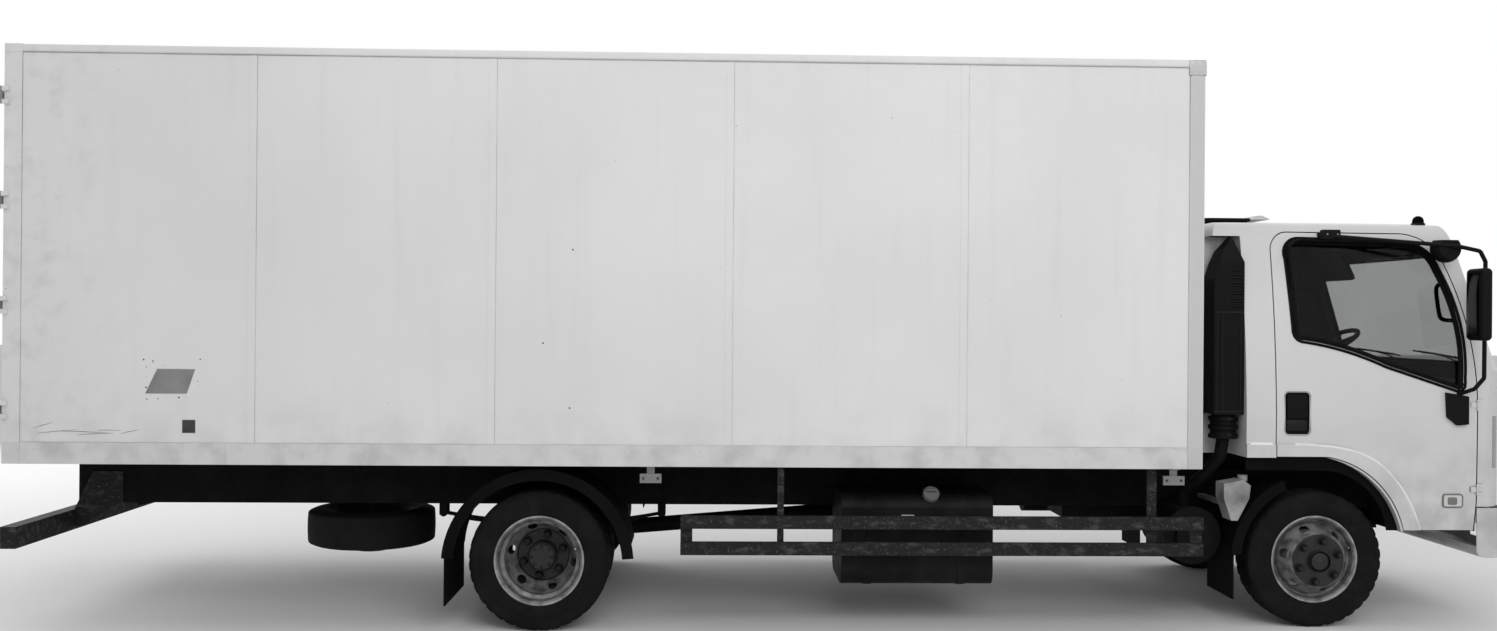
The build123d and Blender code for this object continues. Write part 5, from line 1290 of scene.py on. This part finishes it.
def make_seats():
    """Driver's seat and a bench for two, with their bases, belts and buckles."""
    rows = (
        # name, middle, width, sewn channels across the seat
        ("driver_seat", 0.480, 0.500, (-0.14, 0.14)),
        ("bench_seat", -0.330, 0.900, (-0.32, 0.0, 0.32)),
    )
    bases = Build()
    for name, y, width, lines in rows:
        across = [(1, line) for line in lines]
        cloth_pad(f"{name}_cushion", (0.480, width, 0.120), 0, (XF + 0.120, y, SEAT_TOP - 0.060),
                  across + [(0, -0.10), (0, 0.08)])
        cloth_pad(f"{name}_back", (0.620, width, 0.110), 80, (XF - 0.180, y, SEAT_TOP + 0.280),
                  across + [(0, -0.16), (0, 0.06)])
        half = width / 2
        bases.box((XF - 0.060, y - half + 0.060, 1.152), (XF + 0.300, y + half - 0.060, 1.188), 0.006)
        bases.box((XF - 0.10, y - half + 0.045, 1.166), (XF + 0.330, y - half + 0.062, 1.190), 0.004)
        bases.box((XF - 0.10, y + half - 0.062, 1.166), (XF + 0.330, y + half - 0.045, 1.190), 0.004)
    for y0, y1 in ((0.385, 0.690), (-0.740, -0.385)):
        bases.box((XF - 0.060, y0, 0.991), (XF + 0.300, y1, 1.152), 0.008)
    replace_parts(bases.piece("seat_bases", "interior", "cab", "grey_plastic"), "seats")
    belts = Build()
    buckles = Build()
    for y, side in ((0.480, 1), (-0.560, -1)):
        top = spot(-0.245, side * 0.800, 1.900)
        low = spot(-0.200, side * 0.800, 1.120)
        rows = []
        for k in range(9):
            p = top.lerp(low, k / 8)
            rows.append([p + Vector((0.023, 0, 0)), p + Vector((0.023, -side * 0.0016, 0)),
                         p + Vector((-0.023, -side * 0.0016, 0)), p + Vector((-0.023, 0, 0))])
        belts.solid(rows)
        buckles.box((top.x - 0.030, side * 0.792 - 0.008, 1.880),
                    (top.x + 0.030, side * 0.792 + 0.010, 1.935), 0.004)
        x, inner = XF + 0.02, y - side * 0.27
        buckles.box((x - 0.016, inner - 0.011, 1.200), (x + 0.016, inner + 0.011, 1.345), 0.004)
    belts.piece("seat_belts", "webbing", "cab", "fabric")
    buckles.piece("belt_buckles", "buckle", "cab", "black_plastic")


def make_headliner():
    """A thin lining under the cab's roof, in a tone darkened as painted shade."""
    roof = []
    for i in range(13):
        row = []
        for j in range(17):
            x = XF - 0.42 + 1.02 * i / 12
            y = -0.76 + 1.52 * j / 16
            place = hit("cab_shell", (x, y, 1.95), (0, 0, 1))
            row.append(Vector((x, y, (place.z if place else 2.14) - 0.006)))
        roof.append(row)
    lining = Build().grid(roof)
    lining.grid([[p - Vector((0, 0, 0.010)) for p in row] for row in roof])
    edge = [roof[0][j] for j in range(17)] + [roof[i][16] for i in range(1, 13)]
    edge += [roof[12][j] for j in range(15, -1, -1)] + [roof[i][0] for i in range(11, 0, -1)]
    lining.grid([edge, [p - Vector((0, 0, 0.010)) for p in edge]], closed=True)
    lining.piece("headliner", "headliner", "cab", "grey_plastic", 60)


def make_visors():
    """Two folded sun visors on their rods."""
    pads = Build()
    for y0, y1, way in ((0.31, 0.78, (0.085, 0, -0.150)), (-0.78, -0.25, (-0.165, 0, 0.010))):
        hinge = spot(0.745, 0, 2.080)
        length, way = Vector(way).length, Vector(way).normalized()
        normal = Vector((0, 1, 0)).cross(way)
        outline = rounded([(y0, 0.0), (y1, 0.0), (y1 - 0.02, length), (y0 + 0.03, length)], 0.025)
        middle = Vector(((y0 + y1) / 2, length / 2))
        rows = []
        for lift, inset in ((-0.005, 0.006), (-0.008, 0.0), (0.008, 0.0), (0.005, 0.006)):
            flat = [Vector(p) + (middle - Vector(p)).normalized() * inset for p in outline]
            rows.append([hinge + Vector((0, a, 0)) + way * b + normal * lift for a, b in flat])
        pads.solid(rows)
        pads.tube([hinge + Vector((0, y0 + 0.02, 0)), hinge + Vector((0, y1 - 0.02, 0))], 0.006, 8)
    pads.piece("sun_visors", "dash", "cab", "black_plastic")


def make_grips():
    """Grab handles inside the windscreen's pillars."""
    grips = Build()
    for s in (-1, 1):
        line = [(0.790, 1.876), (0.722, 1.872), (0.703, 1.858), (0.697, 1.835),
                (0.716, 1.700), (0.728, 1.679), (0.752, 1.671), (0.835, 1.668)]
        path = [spot(x, s * 0.858, z) for x, z in smooth_line(line)]
        grips.tube(path, 0.0115, 10)
    grips.piece("grab_handles", "moulded", "cab", "black_plastic")


def make_door_panels():
    """Inner panels of the doors, with arm rests, handles and window winders."""
    panels = Build()
    rests = Build()
    line = [(-0.190, 0.965), (0.300, 0.965), (0.520, 0.700), (0.770, 0.700), (0.790, 0.900),
            (0.790, 1.235), (0.360, 1.385), (0.060, 1.500), (-0.190, 1.530)]
    outline = even(rounded(line, 0.030, 4), 0.04)
    normals = outward(outline)
    rows = []
    for inset, lift in ((0.0, 0.001), (0.0, 0.010), (0.006, 0.014), (0.08, 0.014)):
        row = []
        for p, n in zip(outline, normals):
            q = p - n * inset
            place = hit("cab_door_right", (XF + q.x, -0.70, q.y), (0, -1, 0))
            row.append(spot(q.x, (place.y if place else -0.955) + lift, q.y))
        rows.append(row)
    panels.solid(rows)
    both_doors(panels, "door_panel", "interior", "grey_plastic", 35)
    base = hit("cab_door_right", (XF + 0.2, -0.70, 1.15), (0, -1, 0))
    y = (base.y if base else -0.955) + 0.013
    rests.box((XF - 0.10, y, 1.135), (XF + 0.30, y + 0.040, 1.175), 0.010)
    rests.tube([spot(0.36, y, 1.23), spot(0.36, y + 0.032, 1.24), spot(0.47, y + 0.032, 1.20),
                spot(0.47, y, 1.19)], 0.009, 8)
    rests.spin([(0.016, 0.0), (0.016, 0.012), (0.008, 0.016), (0.0, 0.016)], (XF + 0.40, y, 1.06),
               (0, 1, 0), 16)
    rests.tube([spot(0.40, y + 0.014, 1.06), spot(0.43, y + 0.020, 1.10)], 0.005, 6)
    both_doors(rests, "door_rest", "moulded", "black_plastic", 35)


def make_dash_fittings():
    """Vents, switches, instrument hood, stalks and the gear lever."""
    fittings = Build()
    for y in (-0.80, -0.20, 0.18, 0.82):
        for k in range(4):
            z = 1.245 + 0.016 * k
            fittings.box((XF + 0.758, y - 0.055, z), (XF + 0.775, y + 0.055, z + 0.008), 0.002)
        fittings.box((XF + 0.766, y - 0.062, 1.236), (XF + 0.778, y + 0.062, 1.312), 0.004)
    fittings.box((XF + 0.752, -0.150, 1.130), (XF + 0.790, 0.130, 1.230), 0.006)
    for k in range(3):
        fittings.spin([(0.016, 0.0), (0.015, 0.012), (0.0, 0.012)], (XF + 0.752, -0.09 + 0.08 * k, 1.160),
                      (-1, 0, 0), 18)
    hood = [(0.785, 1.310), (0.770, 1.395), (0.790, 1.425), (0.905, 1.405), (0.935, 1.330)]
    rows = []
    for y, scale in ((0.275, 0.90), (0.300, 0.97), (0.400, 1.0), (0.560, 1.0), (0.660, 0.97),
                     (0.685, 0.90)):
        rows.append([spot(0.85 + (x - 0.85) * scale, y, 1.30 + (z - 1.30) * scale) for x, z in hood])
    fittings.solid(rows)
    for k in range(3):
        fittings.spin([(0.036, 0.0), (0.036, 0.004), (0.033, 0.004), (0.033, 0.001), (0.0, 0.001)],
                      (XF + 0.772, 0.40 + 0.08 * k, 1.372), (-1, 0, 0.1), 28)
    for s in (-1, 1):
        start = spot(0.735, 0.480 + s * 0.035, 1.432)
        fittings.tube([start, start + Vector((-0.010, s * 0.07, 0.020)),
                       start + Vector((-0.015, s * 0.13, 0.030))],
                      [0.006, 0.0065, 0.010], 8)
    fittings.tube([spot(0.56, 0.16, 1.151), spot(0.60, 0.16, 1.30), spot(0.62, 0.16, 1.41)], 0.007, 8)
    fittings.spin([(0.0, 0.060), (0.016, 0.052), (0.023, 0.035), (0.018, 0.010), (0.010, 0.0)],
                  (XF + 0.62, 0.16, 1.400), (0.15, 0, 1), 16)
    fittings.spin([(0.055, 0.0), (0.050, 0.012), (0.034, 0.030), (0.016, 0.055), (0.0, 0.056)],
                  (XF + 0.56, 0.16, 1.150), (0, 0, 1), 20)
    fittings.piece("dash_fittings", "moulded", "cab", "black_plastic", 35)


# Small forms of the cab's outside and of the chassis

ARCH_CREASE = ((-0.405, 1.002), (-0.240, 1.001), (-0.064, 0.998), (0.112, 0.983), (0.277, 0.935),
               (0.389, 0.837), (0.467, 0.729), (0.517, 0.621), (0.546, 0.544))


def make_outside_lines():
    """The crease over the front arch as a thin bead with a painted highlight, the roof hatch's wedge and
    the mirror's bracket plate.
    """
    line = [Vector((XF + x, z)) for x, z in smooth_line(ARCH_CREASE)]
    door, shell = Build(), Build()
    for start, end, build, name in ((-0.158, 0.60, door, "cab_door_right"),
                                    (-0.42, -0.205, shell, "cab_shell")):
        part = [p for p in even(line, 0.02, closed=False) if XF + start <= p.x <= XF + end]
        rows = []
        for p, n in zip(part, outward(part, closed=False)):
            row = []
            for shift, lift in ((0.007, -0.001), (0.002, 0.003), (-0.002, 0.003), (-0.007, -0.001)):
                row.append(on_side([name], p.x + n.x * shift, p.y + n.y * shift, lift))
            if all(row):
                rows.append(row)
        build.grid(rows)
    # The beads carry the crease's painted highlight
    both_doors(door, "arch_crease_highlight", "crease", "white_paint", 60)
    shell.mirrored().piece("arch_crease_highlight_cab", "crease", "cab", "white_paint", 60)
    hatch = Build()
    wedge = [(-0.070, 2.262), (-0.048, 2.284), (-0.017, 2.285), (0.021, 2.268), (0.030, 2.262)]
    hatch.solid([[spot(x, y, z) for x, z in wedge] for y in (-0.250, 0.250)])
    hatch.piece("hatch_wedge", "panel", "cab", "white_paint", 60)
    bracket = Build()
    corners = [(0.028, 2.104), (0.129, 2.104), (0.129, 2.158), (0.028, 2.158)]
    plate = [(XF + x, z) for x, z in rounded(corners, 0.008)]
    bracket.solid(pad_rows(plate, [(0.0, -0.030), (0.0, 0.0), (0.003, 0.002)], [], -0.935))
    both_doors(bracket, "mirror_bracket", "moulded", "black_plastic", 35)


def make_tank_gear():
    """Filler cap, end straps' bolts and a blank label on the fuel tank."""
    cap = Build()
    cap.spin([(0.036, 0.0), (0.036, 0.018), (0.0435, 0.022), (0.0435, 0.046), (0.038, 0.052),
              (0.020, 0.052), (0.0, 0.050)],
             (XF - 2.100, -0.955, 0.700), (0, -0.80, 0.60), 28)
    cap.box((XF - 2.128, -1.0125, 0.742), (XF - 2.072, -0.996, 0.754), 0.002)
    cap.piece("tank_cap", "cap", "chassis", "black_steel", 40)
    label = Build().box((XF - 2.262, -1.0012, 0.596), (XF - 2.192, -0.9996, 0.613), 0.0004)
    label.piece("tank_label", "label", "chassis", "black_steel")
    bolts = Build()
    for x in (-2.438, -1.936):
        bolts.box((XF + x - 0.014, -1.013, 0.440), (XF + x + 0.014, -1.003, 0.500), 0.002)
        bolts.tube([(XF + x, -1.010, 0.500), (XF + x, -1.010, 0.560)], 0.005, 8)
        bolts.spin([(0.0, 0.0), (0.010, 0.0), (0.010, 0.008), (0.0, 0.008)], (XF + x, -1.010, 0.540),
                   (0, 0, 1), 6)
    for z in (0.300, 0.640):
        bolts.box((XF - 2.570, -1.0022, z), (XF - 1.780, -0.9985, z + 0.006), 0.001)
    bolts.piece("tank_strap_bolts", "tank", "chassis", "black_steel")


def make_tower_gear():
    """Louvre blades and ribs of the air intake, the clips of its hoses."""
    ribs = Build()
    for k in range(14):
        z = 1.735 + 0.0142 * k
        place = on_side(["intake_tower"], XF - 0.492, z)
        y = place.y if place and place.y < -0.90 else -0.966
        ribs.box((XF - 0.480, y - 0.003, z), (XF - 0.411, y + 0.004, z + 0.004), 0.001)
    for x in (-0.560, -0.530, -0.430):
        ribs.box((XF + x, -0.9685, 1.175), (XF + x + 0.006, -0.9640, 1.700), 0.0012)
    for z in (1.165, 1.700):
        ribs.box((XF - 0.570, -0.9685, z), (XF - 0.410, -0.9640, z + 0.010), 0.0012)
    ribs.piece("tower_ribs", "handle", "cab", "black_plastic")
    clips = Build()
    for z in (1.128, 1.045):
        band = [(0.0665, -0.007), (0.0680, -0.006), (0.0680, 0.006), (0.0665, 0.007)]
        clips.spin(band, (XF - 0.488, -0.880, z), (0, 0, 1), 32, True)
        clips.box((XF - 0.500, -0.962, z - 0.008), (XF - 0.474, -0.945, z + 0.008), 0.002)
    clips.piece("hose_clips", "handle", "chassis", "black_plastic")


def make_front_gear():
    """Painted shade of the grille's slots: near-black patches laid just over the shell's foremost surface
    at each slot.
    """
    slot_shade = Build()
    for z0 in (0.930, 1.000, 1.070):
        for middle in (-0.430, -0.145, 0.145, 0.430):
            rows = []
            for z in (z0 + 0.001, z0 + 0.021, z0 + 0.041):
                row = []
                for k in range(7):
                    y = middle + 0.129 * (k - 3) / 3
                    place = hit("cab_shell", (4.5, y, z), (-1, 0, 0))
                    row.append(Vector(((place.x if place else XF + 1.02) + 0.0012, y, z)))
                rows.append(row)
            slot_shade.grid(rows)
    # Near-black patches stand in for the shade inside the slots
    slot_shade.piece("grille_slot_painted_shade", "hollow", "cab", "black_plastic")


def make_rear_gear():
    """Rubber seals round the rear doors' outer edges."""
    low, high = 0.997, 2.920
    for name, s in SIDES:
        seal = Build()
        y0, y1 = sorted((s * 0.004, s * 1.057))
        x0, x1 = BX0 - 0.0055, BX0 - 0.0002
        seal.box((x0, y0, low), (x1, y0 + 0.014, high), 0.002)
        seal.box((x0, y1 - 0.014, low), (x1, y1, high), 0.002)
        seal.box((x0, y0, low), (x1, y1, low + 0.014), 0.002)
        seal.box((x0, y0, high - 0.014), (x1, y1, high), 0.002)
        seal.piece(f"rear_door_seal_{name}", "seal", f"rear_door_{name}", "black_plastic")


for make in (set_view, set_light, set_floor, make_tyres, make_wheel_gear, make_rivets,
             make_joint_lines, make_box_marks, make_box_fittings, make_seals, make_handles,
             make_turn_lamps, make_mirror_gear, make_roof_gear, make_seats, make_headliner,
             make_visors, make_grips, make_door_panels, make_dash_fittings, make_outside_lines,
             make_tank_gear, make_tower_gear, make_front_gear, make_rear_gear):
    make()
